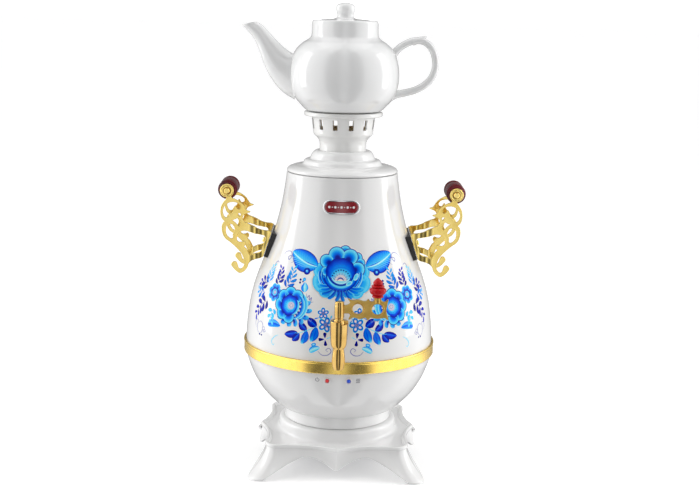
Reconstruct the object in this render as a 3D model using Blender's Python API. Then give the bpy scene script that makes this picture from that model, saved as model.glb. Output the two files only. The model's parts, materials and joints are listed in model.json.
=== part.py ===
"""Electric samovar with a porcelain teapot standing on its crown.

Lengths in the tables are millimetres; meshes are written in metres.
Local frame: samovar axis on Z, front (tap) towards -Y, carrying handles on +X and -X,
z = 0 on the floor under the rubber feet. The root empty shifts everything so that the
bounding box is centred on the world Z axis.
"""

import math

import bmesh
import bpy
from mathutils import Matrix, Vector
from mathutils.geometry import tessellate_polygon

MM = 0.001
N_BIG = 40          # facets of the tank, the band and the bowl
N_MID = 36          # facets of lid, crown and teapot
N_HID = 24          # facets of hidden round parts
GAP = 0.3           # clearance between touching parts

WALL = 1.8          # tank wall
TAP_Y = -140.0      # vertical axis of the tap plug, in front of the tank
TAP_Z = 181.0       # height of the tap shank
LED_X = 11.7
LED_Z = 120.4
BOSS_U = 128.7      # carrying handle: grip axis, outward from the samovar axis
BOSS_Z = 314.9
PLATE_Y = 25.0      # inner faces of the two filigree side plates
PLATE_T = 2.5
STRIP_TAN = 0.332   # slope of the handle's base strip along the tank flank
STRIP_U = 79.5      # outer face of the strip at STRIP_Z
STRIP_Z = 269.5
SCREW_Z = 254.0
COVER_R = 62.4      # radius of the bottom cover's screws
ROCKER = (17.0, 98.0, 96.0)

# tank outside, bottom to top (radius, height)
TANK_OUT = [(107.3, 131.2), (107.4, 141.0), (106.5, 160.0), (104.1, 181.0), (100.3, 199.5),
            (92.2, 224.0), (83.6, 247.5), (75.1, 271.5), (69.3, 293.0), (65.1, 317.5),
            (63.0, 335.2)]
TANK_IN = [(61.0, 334.6), (63.3, 317.5), (67.5, 293.0), (73.3, 271.5), (81.7, 247.5),
           (90.4, 224.0), (98.5, 199.5), (104.2, 165.0), (105.5, 139.2), (99.0, 139.2),
           (99.0, 137.2), (105.5, 137.2), (105.5, 131.2)]
BOWL_OUT = [(106.9, 130.9), (105.6, 120.5), (101.5, 108.3), (94.3, 93.7), (86.4, 82.0),
            (75.8, 71.1), (69.2, 65.5), (66.0, 63.8), (60.0, 63.4)]
BOWL_IN = [(57.0, 63.4), (57.0, 65.4), (66.0, 66.2), (73.4, 72.4), (84.0, 83.4),
           (92.0, 95.0), (99.2, 109.3), (103.5, 121.5), (104.9, 130.9)]

# filigree side plate in (outward, height)
PLATE_EDGE = [(129.5, 308.0), (129.0, 305.5), (132.0, 302.0), (134.5, 297.5), (135.5, 291.5),
              (135.0, 287.0), (133.5, 283.0), (131.0, 280.0), (133.0, 277.5), (134.0, 273.5),
              (133.5, 269.0), (132.5, 264.5), (130.0, 260.5), (125.5, 257.5), (122.0, 254.5),
              (118.0, 251.0), (114.5, 247.0), (111.0, 243.5), (109.5, 239.5), (108.5, 234.5),
              (109.0, 230.0), (111.0, 227.0), (113.5, 225.5), (115.5, 227.0), (116.5, 230.5),
              (118.5, 234.0), (121.0, 233.5), (123.0, 230.5), (121.0, 227.5), (118.0, 224.0),
              (113.5, 221.5), (109.0, 224.0), (105.5, 228.0), (104.0, 232.5), (101.0, 235.5),
              (96.5, 237.5), (89.5, 240.5), (80.1, 269.0), (86.0, 270.5), (93.5, 272.0),
              (99.5, 275.5), (104.5, 277.5), (108.5, 279.0), (110.0, 281.0), (111.0, 284.0),
              (110.5, 287.0), (108.5, 289.0), (105.5, 290.5), (103.0, 291.5), (107.0, 293.0),
              (108.5, 295.5), (110.5, 299.0), (114.5, 302.5), (119.0, 305.0), (122.5, 306.0),
              (124.0, 308.0)]
PLATE_HOLES = [
    [(133.5, 291.5), (133.0, 288.5), (131.5, 285.5), (129.0, 284.0), (126.5, 285.0),
     (125.0, 287.5), (122.5, 289.5), (121.0, 292.0), (120.5, 294.5), (119.5, 297.0),
     (118.0, 295.0), (116.5, 293.5), (113.5, 294.5), (112.5, 296.5), (113.5, 299.5),
     (116.5, 301.5), (121.0, 302.5), (125.5, 302.0), (129.5, 299.5), (132.5, 296.0)],
    [(116.5, 288.5), (115.5, 290.0), (114.0, 290.0), (112.5, 288.5), (113.5, 286.5),
     (115.0, 285.5)],
    [(123.0, 281.5), (119.5, 282.7), (117.0, 284.0), (115.0, 283.3), (113.5, 281.0),
     (113.5, 277.5), (114.5, 274.7), (116.0, 275.0), (118.0, 277.3), (120.5, 279.8)],
    [(130.0, 270.5), (129.5, 274.0), (126.5, 277.0), (122.5, 277.0), (120.5, 274.5),
     (119.5, 271.5), (120.5, 268.0), (121.5, 265.5), (121.5, 262.0), (122.5, 260.5),
     (124.5, 260.5), (127.5, 262.8), (129.5, 266.0)],
    [(117.5, 261.0), (117.0, 264.5), (115.5, 267.5), (112.5, 269.3), (107.5, 270.0),
     (102.5, 268.7), (98.0, 267.0), (92.0, 266.0), (86.8, 265.0), (85.6, 262.0),
     (86.4, 258.0), (88.0, 252.5), (90.2, 247.5), (93.5, 245.2), (98.0, 243.3),
     (103.0, 241.7), (105.0, 245.5), (107.0, 249.0), (109.5, 251.5), (108.0, 253.5),
     (108.0, 256.0), (109.0, 258.0), (112.0, 256.5), (115.0, 256.7), (117.0, 258.3)],
]

# tap lever in (outward, height)
LEVER_EDGE = [(9.3, 220.0), (12.0, 218.5), (15.3, 218.2), (18.7, 218.7), (22.2, 218.2),
              (25.7, 217.4), (28.2, 218.2), (29.9, 219.4), (31.3, 218.2), (34.1, 217.2),
              (36.4, 218.5), (36.6, 221.7), (42.9, 221.7), (43.6, 218.5), (46.0, 217.2),
              (48.5, 217.8), (50.3, 219.6), (49.9, 216.4), (49.2, 212.8), (48.6, 209.2),
              (49.2, 204.9), (49.9, 202.1), (50.6, 198.9), (47.8, 200.7), (43.9, 200.5),
              (39.7, 199.9), (35.5, 200.5), (32.4, 200.7), (29.9, 198.5), (27.8, 200.7),
              (24.3, 199.9), (20.5, 199.3), (16.7, 200.5), (13.9, 200.5), (10.4, 198.4),
              (11.4, 201.4), (11.8, 203.5), (10.4, 204.8), (6.2, 204.9), (6.2, 212.8),
              (9.3, 213.5), (11.4, 216.0)]
LEVER_HOLES = [(19.1, 209.4, 5.9), (39.7, 209.4, 6.2)]
KNOB_U = 39.7


def new_material(name, rgb, rough, metal=0.0, coat=0.0, emit=0.0):
    mat = bpy.data.materials.new(name)
    mat.use_nodes = True
    node = mat.node_tree.nodes["Principled BSDF"]
    node.inputs["Base Color"].default_value = (*rgb, 1.0)
    node.inputs["Roughness"].default_value = rough
    node.inputs["Metallic"].default_value = metal
    node.inputs["Coat Weight"].default_value = coat
    if emit:
        node.inputs["Emission Color"].default_value = (*rgb, 1.0)
        node.inputs["Emission Strength"].default_value = emit
    mat.diffuse_color = (*rgb, 1.0)
    return mat


def revolve(profile, n, phase=0.0):
    """Surface of revolution about Z of a closed (radius, height) loop."""
    verts, faces, rings = [], [], []
    for r, z in profile:
        first = len(verts)
        if r < 1e-6:
            verts.append(Vector((0.0, 0.0, z)))
            rings.append([first])
            continue
        for k in range(n):
            a = phase + 2.0 * math.pi * k / n
            verts.append(Vector((r * math.cos(a), r * math.sin(a), z)))
        rings.append(list(range(first, first + n)))
    for i, a in enumerate(rings):
        b = rings[(i + 1) % len(rings)]
        if len(a) == 1 and len(b) == 1:
            continue
        if (len(a) == 1 or len(b) == 1) and abs(profile[i][1] - profile[(i + 1) % len(rings)][1]) < 1e-6:
            faces.append(tuple(a if len(a) > 1 else b))
            continue
        for k in range(n):
            j = (k + 1) % n
            if len(a) == 1:
                faces.append((a[0], b[j], b[k]))
            elif len(b) == 1:
                faces.append((a[k], a[j], b[0]))
            else:
                faces.append((a[k], a[j], b[j], b[k]))
    return verts, faces


def prism(loops, lo, hi, place):
    """Flat outline with holes, extruded from lo to hi; place maps (a, b, t) to space."""
    flat = [p for loop in loops for p in loop]
    n = len(flat)
    tris = tessellate_polygon([[Vector((a, b, 0.0)) for a, b in loop] for loop in loops])
    verts = [place(a, b, lo) for a, b in flat] + [place(a, b, hi) for a, b in flat]
    faces = [tuple(t) for t in tris] + [tuple(i + n for i in reversed(t)) for t in tris]
    first = 0
    for loop in loops:
        m = len(loop)
        for i in range(m):
            j = (i + 1) % m
            faces.append((first + i, first + j, first + j + n, first + i + n))
        first += m
    return verts, faces


def box(x0, x1, y0, y1, z0, z1):
    return prism([[(x0, y0), (x1, y0), (x1, y1), (x0, y1)]], z0, z1,
                 lambda a, b, t: Vector((a, b, t)))


def sweep(points, sizes, n, side=Vector((0.0, 1.0, 0.0)), close=False):
    """Tube along points; sizes are (in-plane, sideways) half widths per point."""
    verts, faces = [], []
    m = len(points)
    pts = [Vector(p) for p in points]
    for i, p in enumerate(pts):
        if close:
            tangent = pts[(i + 1) % m] - pts[i - 1]
        else:
            tangent = pts[min(i + 1, m - 1)] - pts[max(i - 1, 0)]
        tangent.normalize()
        up = tangent.cross(side).normalized()
        across = up.cross(tangent).normalized()
        for k in range(n):
            a = 2.0 * math.pi * (k + 0.5) / n
            verts.append(p + up * (sizes[i][0] * math.cos(a)) + across * (sizes[i][1] * math.sin(a)))
    for i in range(m if close else m - 1):
        a, b = i * n, ((i + 1) % m) * n
        for k in range(n):
            j = (k + 1) % n
            faces.append((a + k, a + j, b + j, b + k))
    if not close:
        faces.append(tuple(range(n - 1, -1, -1)))
        faces.append(tuple(range((m - 1) * n, m * n)))
    return verts, faces


def moved(shape, matrix):
    return [matrix @ v for v in shape[0]], shape[1]


def joined(*shapes):
    verts, faces = [], []
    for v, f in shapes:
        first = len(verts)
        verts += v
        faces += [tuple(i + first for i in face) for face in f]
    return verts, faces


def mesh_of(name, shape):
    mesh = bpy.data.meshes.new(name)
    mesh.from_pydata([v * MM for v in shape[0]], [], shape[1])
    work = bmesh.new()
    work.from_mesh(mesh)
    bmesh.ops.remove_doubles(work, verts=work.verts, dist=1e-7)
    bmesh.ops.dissolve_degenerate(work, edges=work.edges, dist=1e-7)
    loose = [v for v in work.verts if not v.link_faces]
    bmesh.ops.delete(work, geom=loose, context="VERTS")
    bmesh.ops.recalc_face_normals(work, faces=work.faces)
    if work.calc_volume(signed=True) < 0:
        bmesh.ops.reverse_faces(work, faces=work.faces)
    work.to_mesh(mesh)
    work.free()
    return mesh


def combine(obj, shape, operation):
    """Exact boolean of obj with one more closed shape, applied at once."""
    other = bpy.data.objects.new("tool", mesh_of("tool", shape))
    bpy.context.scene.collection.objects.link(other)
    modifier = obj.modifiers.new("cut", "BOOLEAN")
    modifier.solver = "EXACT"
    modifier.operation = operation
    modifier.object = other
    bpy.context.view_layer.update()
    graph = bpy.context.evaluated_depsgraph_get()
    result = bpy.data.meshes.new_from_object(obj.evaluated_get(graph))
    obj.modifiers.clear()
    obj.data = result
    bpy.data.objects.remove(other, do_unlink=True)


PIECES = []


def piece(name, shape, mat, cuts=(), adds=(), pivot=(0.0, 0.0, 0.0), sharp=35.0):
    obj = bpy.data.objects.new(name, mesh_of(name, shape))
    bpy.context.scene.collection.objects.link(obj)
    for extra in adds:
        combine(obj, extra, "UNION")
    for cutter in cuts:
        combine(obj, cutter, "DIFFERENCE")
    obj.data.name = name
    obj.data.materials.clear()
    obj.data.materials.append(mat)
    offset = Vector(pivot) * MM
    obj.data.transform(Matrix.Translation(-offset))
    obj.location = offset
    obj.data.shade_smooth()
    obj.data.set_sharp_from_angle(angle=math.radians(sharp))
    PIECES.append(obj)
    return obj


def at(x, y, z):
    return Matrix.Translation((x, y, z))


def along_y(x, z):
    """Puts a revolve's axis on Y: its height becomes y, its x stays x."""
    return Matrix(((1, 0, 0, x), (0, 0, 1, 0), (0, -1, 0, z), (0, 0, 0, 1)))


def rod(r, z0, z1, n):
    return revolve([(0.0, z0), (r, z0), (r, z1), (0.0, z1)], n)


def ring(r0, r1, z0, z1, n):
    return revolve([(r0, z0), (r1, z0), (r1, z1), (r0, z1)], n)


def circle(x, y, r, n):
    return [(x + r * math.cos(2 * math.pi * k / n), y + r * math.sin(2 * math.pi * k / n))
            for k in range(n)]


def grown(profile, by):
    return [(r + by, z) for r, z in profile]


for old in list(bpy.data.objects):
    bpy.data.objects.remove(old, do_unlink=True)
scene = bpy.context.scene
scene.unit_settings.system = "METRIC"

ENAMEL = new_material("white_enamel", (0.86, 0.86, 0.85), 0.12, coat=0.6)
PORCELAIN = new_material("white_porcelain", (0.88, 0.88, 0.87), 0.10, coat=0.6)
LID_WHITE = new_material("white_lid_enamel", (0.87, 0.87, 0.86), 0.14, coat=0.5)
CROWN_WHITE = new_material("white_crown", (0.85, 0.85, 0.83), 0.16, coat=0.4)
BASE_WHITE = new_material("white_base_enamel", (0.84, 0.84, 0.83), 0.15, coat=0.5)
GOLD = new_material("gold_plate", (0.83, 0.62, 0.22), 0.18, metal=1.0)
GOLD_BAND = new_material("gold_band", (0.80, 0.58, 0.20), 0.22, metal=1.0)
BRASS = new_material("polished_brass", (0.80, 0.58, 0.24), 0.12, metal=1.0)
LEVER_GOLD = new_material("cast_brass_lever", (0.55, 0.36, 0.10), 0.38, metal=1.0)
STEEL = new_material("stainless_steel", (0.62, 0.62, 0.63), 0.28, metal=1.0)
SILVER = new_material("chrome_bezel", (0.78, 0.79, 0.80), 0.10, metal=1.0)
DARK_RED = new_material("dark_red_enamel", (0.16, 0.01, 0.02), 0.15, coat=0.5)
RED = new_material("red_gloss_knob", (0.52, 0.01, 0.01), 0.12, coat=0.5)
MAROON = new_material("maroon_gloss_grip", (0.13, 0.01, 0.02), 0.14, coat=0.5)
RUBBER = new_material("black_rubber", (0.03, 0.03, 0.03), 0.75)
SILICONE = new_material("white_silicone", (0.70, 0.70, 0.68), 0.55)
BLACK = new_material("black_plastic", (0.03, 0.03, 0.03), 0.40)
BOARD = new_material("green_board", (0.03, 0.16, 0.07), 0.45)
LED_R = new_material("red_lens", (0.60, 0.01, 0.02), 0.15, emit=0.6)
LED_B = new_material("blue_lens", (0.02, 0.10, 0.75), 0.15, emit=0.8)
BEZEL = new_material("pale_bezel", (0.80, 0.78, 0.78), 0.30)

# ---------------------------------------------------------------- tank and bowl
flank_n = Vector((1.0, 0.0, STRIP_TAN)).normalized()      # outward normal of the strip


def strip_u(z):
    return STRIP_U + STRIP_TAN * (STRIP_Z - z)


def screw_frame(sx):
    """Screw axis normal to the strip, origin on the strip's outer face."""
    n = Vector((sx * flank_n.x, 0.0, flank_n.z))
    turn = n.to_track_quat("Z", "Y").to_matrix().to_4x4()
    return at(sx * strip_u(SCREW_Z), 0.0, SCREW_Z) @ turn


tank_cuts = [moved(rod(6.6, -112.0, -92.0, 16), along_y(0.0, TAP_Z))]
tank_cuts += [moved(rod(2.4, -14.0, 2.0, 10), screw_frame(sx)) for sx in (1.0, -1.0)]
piece("tank_shell", revolve(TANK_OUT + [(62.1, 335.9)] + TANK_IN, N_BIG), ENAMEL,
      cuts=tank_cuts)

bowl_cuts = [moved(rod(2.95, -110.0, -98.0, 12), along_y(x, LED_Z)) for x in (-LED_X, LED_X)]
bowl_cuts.append(box(-28.9, 28.9, 70.0, 112.0, 83.6, 108.4))
piece("lower_bowl", revolve(BOWL_OUT + BOWL_IN, N_BIG), ENAMEL, cuts=bowl_cuts)

piece("gold_band", revolve([(107.8, 128.4), (109.5, 128.4), (109.9, 129.1), (109.9, 139.8),
                            (110.2, 140.3), (110.2, 141.1), (109.6, 141.5), (107.8, 141.5)],
                           N_BIG), GOLD_BAND)
piece("heater_seal", ring(99.8, 104.7, 134.5, 136.9, N_HID), SILICONE)
piece("heater_plate", revolve([(0.0, 131.8), (104.7, 131.8), (104.7, 134.1), (88.0, 134.1),
                               (80.0, 135.4), (0.0, 135.4)], N_HID), STEEL)
arc = [math.radians(-68.0 + 316.0 * k / 19.0) for k in range(20)]
coil = [(62.0 * math.cos(a), 62.0 * math.sin(a), 127.9) for a in arc]
piece("heating_element", sweep(coil, [(3.4, 3.4)] * 20, 8, side=Vector((0, 0, 1))), STEEL)
piece("thermostat", revolve([(0.0, 120.5), (9.0, 120.5), (9.0, 124.0), (13.0, 124.5),
                             (13.0, 131.4), (0.0, 131.4)], 16), BLACK)
piece("control_board", box(-30.0, 30.0, -89.2, -87.6, 106.0, 131.4), BOARD)
for tag, x, lens in (("power_led", -LED_X, LED_R), ("keep_warm_led", LED_X, LED_B)):
    piece(tag + "_bezel", moved(revolve([(2.25, -107.2), (3.1, -107.3), (3.55, -106.8),
                                         (3.55, -106.1), (2.6, -106.1), (2.6, -101.0),
                                         (2.25, -101.0)], 16), along_y(x, LED_Z)), BEZEL)
    piece(tag, moved(revolve([(0.0, -108.1), (1.1, -107.8), (1.9, -106.6), (1.9, -99.0),
                              (0.5, -99.0), (0.5, -89.6), (0.0, -89.6)], 12),
                     along_y(x, LED_Z)), lens)

# ---------------------------------------------------------------- name-plate, left blank
def on_tank(s, z, t):
    r = 67.9 - 0.165 * (z - 300.5)
    a = s / 67.2
    return Vector(((r + t) * math.sin(a), -(r + t) * math.cos(a), z))


BADGE_Z = 304.8
columns = [-17.6 + 2.2 * k for k in range(17)]
verts, faces = [], []
for s in columns:
    h = math.sqrt(max(5.4 ** 2 - max(abs(s) - 12.6, 0.0) ** 2, 4.0))
    for dz, t in ((-h, 0.5), (h, 0.5), (h - 0.5, 1.4), (-h + 0.5, 1.4)):
        verts.append(on_tank(s, BADGE_Z + dz, t))
for i in range(len(columns) - 1):
    for k in range(4):
        j = (k + 1) % 4
        faces.append((i * 4 + k, i * 4 + j, i * 4 + 4 + j, i * 4 + 4 + k))
faces += [(3, 2, 1, 0), tuple(range(len(verts) - 4, len(verts)))]
piece("badge_plate", (verts, faces), DARK_RED)

rim = []
for k in range(40):
    a = 2 * math.pi * k / 40
    rim.append((12.8 * max(-1.0, min(1.0, 1.6 * math.cos(a))) + 6.9 * math.cos(a),
                BADGE_Z + 6.9 * math.sin(a) / max(abs(math.sin(a)), 0.75)
                * min(1.0, abs(math.sin(a)) / 0.75 + 0.0)))
verts, faces = [], []
for k, (s, z) in enumerate(rim):
    out = Vector((s - max(-12.8, min(12.8, s)), z - BADGE_Z)).normalized()
    for w, t in ((-0.9, 0.5), (0.9, 0.5), (0.7, 1.7), (0.0, 2.1), (-0.7, 1.7)):
        verts.append(on_tank(s + out.x * w, z + out.y * w, t))
for k in range(40):
    a, b = k * 5, ((k + 1) % 40) * 5
    for i in range(5):
        j = (i + 1) % 5
        faces.append((a + i, a + j, b + j, b + i))
piece("badge_bezel", (verts, faces), SILVER)

# ---------------------------------------------------------------- foot
corners = [(sx * COVER_R * math.sqrt(0.5), sy * COVER_R * math.sqrt(0.5))
           for sx in (-1, 1) for sy in (-1, 1)]
cover_holes = joined(*[moved(rod(1.9, 28.0, 41.0, 8), at(x, y, 0.0)) for x, y in corners])
piece("base_collar", revolve([(57.3, 34.7), (72.7, 34.7), (69.4, 38.4), (67.9, 42.0), (67.9, 48.3),
                              (66.8, 49.3), (61.8, 49.3), (61.8, 62.3), (61.2, 63.0),
                              (57.3, 63.0)], N_MID), BASE_WHITE, cuts=[cover_holes])

SIDE = [(0.0, 90.0, 11.8), (5.0, 88.0, 13.6), (13.0, 85.0, 18.4), (24.0, 82.0, 22.6),
        (36.0, 80.1, 23.6), (47.0, 79.5, 17.6), (57.0, 79.9, 7.6), (66.0, 80.5, 2.6)]
outline = []
for x, f, low in [(-x, f, low) for x, f, low in reversed(SIDE[1:])] + SIDE:
    w = max(0.0, min(1.0, (abs(x) - 38.0) / 26.0))
    w = w * w * (3.0 - 2.0 * w)
    flare = (16.5 * w * math.copysign(1.0, x) if x else 0.0, -16.5 * w - 1.5 * (1.0 - w))
    outline.append(((x, -f), (0.0, -1.0), flare, low, w))
for k in range(1, 4):
    a = math.radians(-90.0 + 22.5 * k)
    n = (math.cos(a), math.sin(a))
    outline.append(((66.0 + 14.5 * n[0], -66.0 + 14.5 * n[1]), n, (16.5, -16.5), 2.6, 1.0))
quarter = list(outline)
for turn in (1, 2, 3):
    c, s = round(math.cos(turn * math.pi / 2)), round(math.sin(turn * math.pi / 2))
    for p, n, d, low, w in quarter:
        outline.append(((p[0] * c - p[1] * s, p[0] * s + p[1] * c),
                        (n[0] * c - n[1] * s, n[0] * s + n[1] * c),
                        (d[0] * c - d[1] * s, d[0] * s + d[1] * c), low, w))


def circle_ring(r, z):
    return [Vector((r * math.cos(math.atan2(p[1], p[0])), r * math.sin(math.atan2(p[1], p[0])), z))
            for p, n, d, low, w in outline]


def outline_ring(inset, z):
    return [Vector((p[0] - n[0] * inset, p[1] - n[1] * inset, z)) for p, n, d, low, w in outline]


def skirt_ring(t, inset, deep_inset=0.0, lift=0.0):
    """t 0 at the plate, 1 at the lower edge; the corners splay outwards into feet."""
    out = []
    for p, n, d, low, w in outline:
        push = t ** 1.7
        gap = inset + deep_inset * w
        out.append(Vector((p[0] + d[0] * push - n[0] * gap, p[1] + d[1] * push - n[1] * gap,
                           (33.0 + (low - 33.0) * t) + lift)))
    return out


rings = [circle_ring(57.0, 34.4), outline_ring(6.4, 34.4), outline_ring(4.4, 36.4), outline_ring(1.2, 36.6),
         outline_ring(0.0, 35.2), outline_ring(0.0, 33.2), outline_ring(1.4, 32.2),
         skirt_ring(0.42, 0.6), skirt_ring(0.80, 0.0), skirt_ring(1.0, 0.2, 1.2),
         skirt_ring(1.0, 3.6, 5.2), skirt_ring(0.55, 4.4, 2.6), outline_ring(5.5, 31.0),
         circle_ring(57.0, 31.0)]
count = len(outline)
verts = [v for r in rings for v in r]
faces = []
for i in range(len(rings)):
    a, b = i * count, ((i + 1) % len(rings)) * count
    for k in range(count):
        j = (k + 1) % count
        faces.append((a + k, a + j, b + j, b + k))
piece("base_stand", (verts, faces), BASE_WHITE, sharp=40.0,
      cuts=[cover_holes])

vents = []
for k in range(6):
    a = math.pi / 3.0 * k
    slot = [(22.0, -2.5), (44.0, -2.5), (46.0, 0.0), (44.0, 2.5), (22.0, 2.5), (20.0, 0.0)]
    vents.append([(x * math.cos(a) - y * math.sin(a), x * math.sin(a) + y * math.cos(a))
                  for x, y in slot])
piece("bottom_cover", prism([circle(0.0, 0.0, 67.0, N_HID)]
                            + [circle(x, y, 1.9, 8) for x, y in corners] + vents,
                            28.4, 30.6, lambda a, b, t: Vector((a, b, t))), STEEL)
for (x, y), tag in zip(corners, ("front_left", "rear_left", "front_right", "rear_right")):
    piece("cover_screw_" + tag, moved(revolve([(0.0, 26.9), (2.6, 26.9), (3.2, 27.5),
                                               (3.2, 28.1), (1.5, 28.1), (1.5, 40.0),
                                               (0.0, 40.0)], 12), at(x, y, 0.0)), STEEL)
    pad = []
    mid = math.degrees(math.atan2(y, x))
    for k in range(7):
        a = math.radians(mid - 54.0 + 18.0 * k)
        pad.append((12.2 * math.cos(a), 12.2 * math.sin(a)))
    for k in range(7):
        a = math.radians(mid + 54.0 - 18.0 * k)
        pad.append((7.4 * math.cos(a), 7.4 * math.sin(a)))
    cx, cy = math.copysign(82.5, x), math.copysign(82.5, y)
    piece("foot_pad_" + tag, prism([[(cx + px, cy + py) for px, py in pad]], 0.0, 2.3,
                                   lambda a, b, t: Vector((a, b, t))), RUBBER)

# ---------------------------------------------------------------- mains inlet and switch
piece("inlet_housing", box(-28.5, 28.5, 78.0, 102.0, 84.0, 108.0), BLACK,
      cuts=[prism([[(-23.0, 88.0), (1.0, 88.0), (1.0, 100.5), (-3.5, 104.5), (-18.5, 104.5),
                    (-23.0, 100.5)]], 85.0, 104.0, lambda a, b, t: Vector((a, t, b))),
            box(9.6, 24.4, 90.0, 104.0, 86.0, 106.0)]
      + [box(x - 1.4, x + 1.4, 76.0, 86.0, z - 2.4, z + 2.4)
         for x, z in ((-18.0, 94.0), (-4.0, 94.0), (-11.0, 99.0))])
for tag, x, z in (("line", -18.0, 94.0), ("neutral", -4.0, 94.0), ("earth", -11.0, 99.0)):
    piece("inlet_pin_" + tag, box(x - 1.0, x + 1.0, 75.0, 99.5, z - 2.0, z + 2.0), BRASS)
px, py, pz = ROCKER
piece("switch_frame", prism([[(px - 8.2, pz - 11.0), (px + 8.2, pz - 11.0),
                              (px + 8.2, pz + 11.0), (px - 8.2, pz + 11.0)],
                             [(px - 5.6, pz - 8.4), (px + 5.6, pz - 8.4),
                              (px + 5.6, pz + 8.4), (px - 5.6, pz + 8.4)]], 102.3, 103.4,
                            lambda a, b, t: Vector((a, t, b))), BLACK,
      adds=[prism([[(px - 6.9, pz - 9.6), (px + 6.9, pz - 9.6), (px + 6.9, pz + 9.6),
                    (px - 6.9, pz + 9.6)],
                   [(px - 5.6, pz - 8.4), (px + 5.6, pz - 8.4), (px + 5.6, pz + 8.4),
                    (px - 5.6, pz + 8.4)]], 91.0, 102.6, lambda a, b, t: Vector((a, t, b)))])
tilt = Matrix.Rotation(math.radians(-7.0), 4, "X")
side = [(4.6, 0.0), (5.5, 7.3), (4.6, 7.6), (0.0, 6.8), (-3.6, 2.6), (-3.6, -2.6),
        (0.0, -6.8), (4.6, -7.6), (5.5, -7.3)]
piece("switch_rocker", moved(prism([side], -5.2, 5.2, lambda a, b, t: Vector((t, a, b))),
                             at(px, py, pz) @ tilt), BLACK, pivot=ROCKER)

# ---------------------------------------------------------------- tap
bell = [(0.0, 143.4), (5.0, 143.4), (5.6, 144.2), (6.3, 147.5), (6.9, 152.5), (6.7, 158.0),
        (6.1, 163.5), (6.0, 165.6), (6.8, 167.2), (8.2, 170.6), (8.9, 175.5), (9.3, 184.0),
        (9.45, 192.6), (9.45, 195.6), (9.0, 196.5), (0.0, 196.5)]
shank = [(0.0, -134.0), (6.6, -134.0), (6.6, -111.6), (8.7, -111.6), (8.7, -108.5),
         (6.2, -108.5), (6.2, -92.0), (0.0, -92.0)]
piece("tap_body", moved(revolve(bell, 20), at(0.0, TAP_Y, 0.0)), BRASS,
      adds=[moved(revolve(shank, 20), along_y(0.0, TAP_Z))],
      cuts=[moved(rod(6.0, 171.0, 199.0, 20), at(0.0, TAP_Y, 0.0)),
            moved(rod(3.4, 140.0, 172.0, 12), at(0.0, TAP_Y, 0.0)),
            moved(rod(3.3, -136.0, -90.0, 12), along_y(0.0, TAP_Z)),
            box(2.3, 12.0, -152.0, TAP_Y - 0.7, 193.9, 198.0)])
piece("tap_gasket", moved(ring(6.6, 8.7, -108.2, -101.0, 20), along_y(0.0, TAP_Z)), RUBBER,
      cuts=[revolve([(0.0, 131.0)] + grown(TANK_OUT, GAP) + [(0.0, 335.2)], N_BIG)])
piece("tap_nut", prism([circle(0.0, 0.0, 10.8, 6), circle(0.0, 0.0, 6.6, 12)], -99.6, -94.8,
                       lambda a, b, t: Vector((a, t, TAP_Z + b))), BRASS)
PIVOT = (0.0, TAP_Y, 198.0)
plug = [(0.0, 171.6), (5.9, 171.6), (5.9, 197.6), (4.7, 198.2), (4.7, 199.2), (5.2, 199.8),
        (5.2, 212.4), (4.8, 213.0), (4.8, 215.6), (4.1, 216.9), (2.6, 217.4), (0.0, 217.5)]
piece("tap_plug", moved(revolve(plug, 20), at(0.0, TAP_Y, 0.0)), BRASS, pivot=PIVOT,
      cuts=[moved(rod(3.4, 170.0, 184.0, 12), at(0.0, TAP_Y, 0.0)),
            moved(rod(3.2, -8.0, 0.5, 12), at(0.0, TAP_Y, TAP_Z) @ Matrix.Rotation(math.pi / 2, 4, "Y")),
            moved(rod(2.3, 0.5, 8.0, 10), at(0.0, TAP_Y, 208.8) @ Matrix.Rotation(math.pi / 2, 4, "Y"))])
piece("tap_lever", prism([LEVER_EDGE] + [circle(u, z, r, 16) for u, z, r in LEVER_HOLES],
                         -1.5, 1.5, lambda a, b, t: Vector((a, TAP_Y + t, b))), LEVER_GOLD,
      adds=[moved(rod(2.0, 1.0, 8.0, 10), at(0.0, TAP_Y, 208.8) @ Matrix.Rotation(math.pi / 2, 4, "Y")),
            moved(rod(2.0, 220.5, 233.0, 10), at(KNOB_U, TAP_Y, 0.0))], pivot=PIVOT)
knob = [(2.35, 222.1), (5.7, 222.1), (6.0, 223.6), (6.4, 226.0), (7.8, 228.6), (8.3, 231.6),
        (7.6, 234.2), (6.2, 235.4), (4.6, 236.4), (4.3, 237.6), (3.3, 239.4), (1.6, 241.6),
        (0.0, 242.8), (0.0, 234.0), (2.35, 234.0)]
piece("tap_knob", moved(revolve(knob, 16), at(KNOB_U, TAP_Y, 0.0)), RED, pivot=PIVOT)

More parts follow.
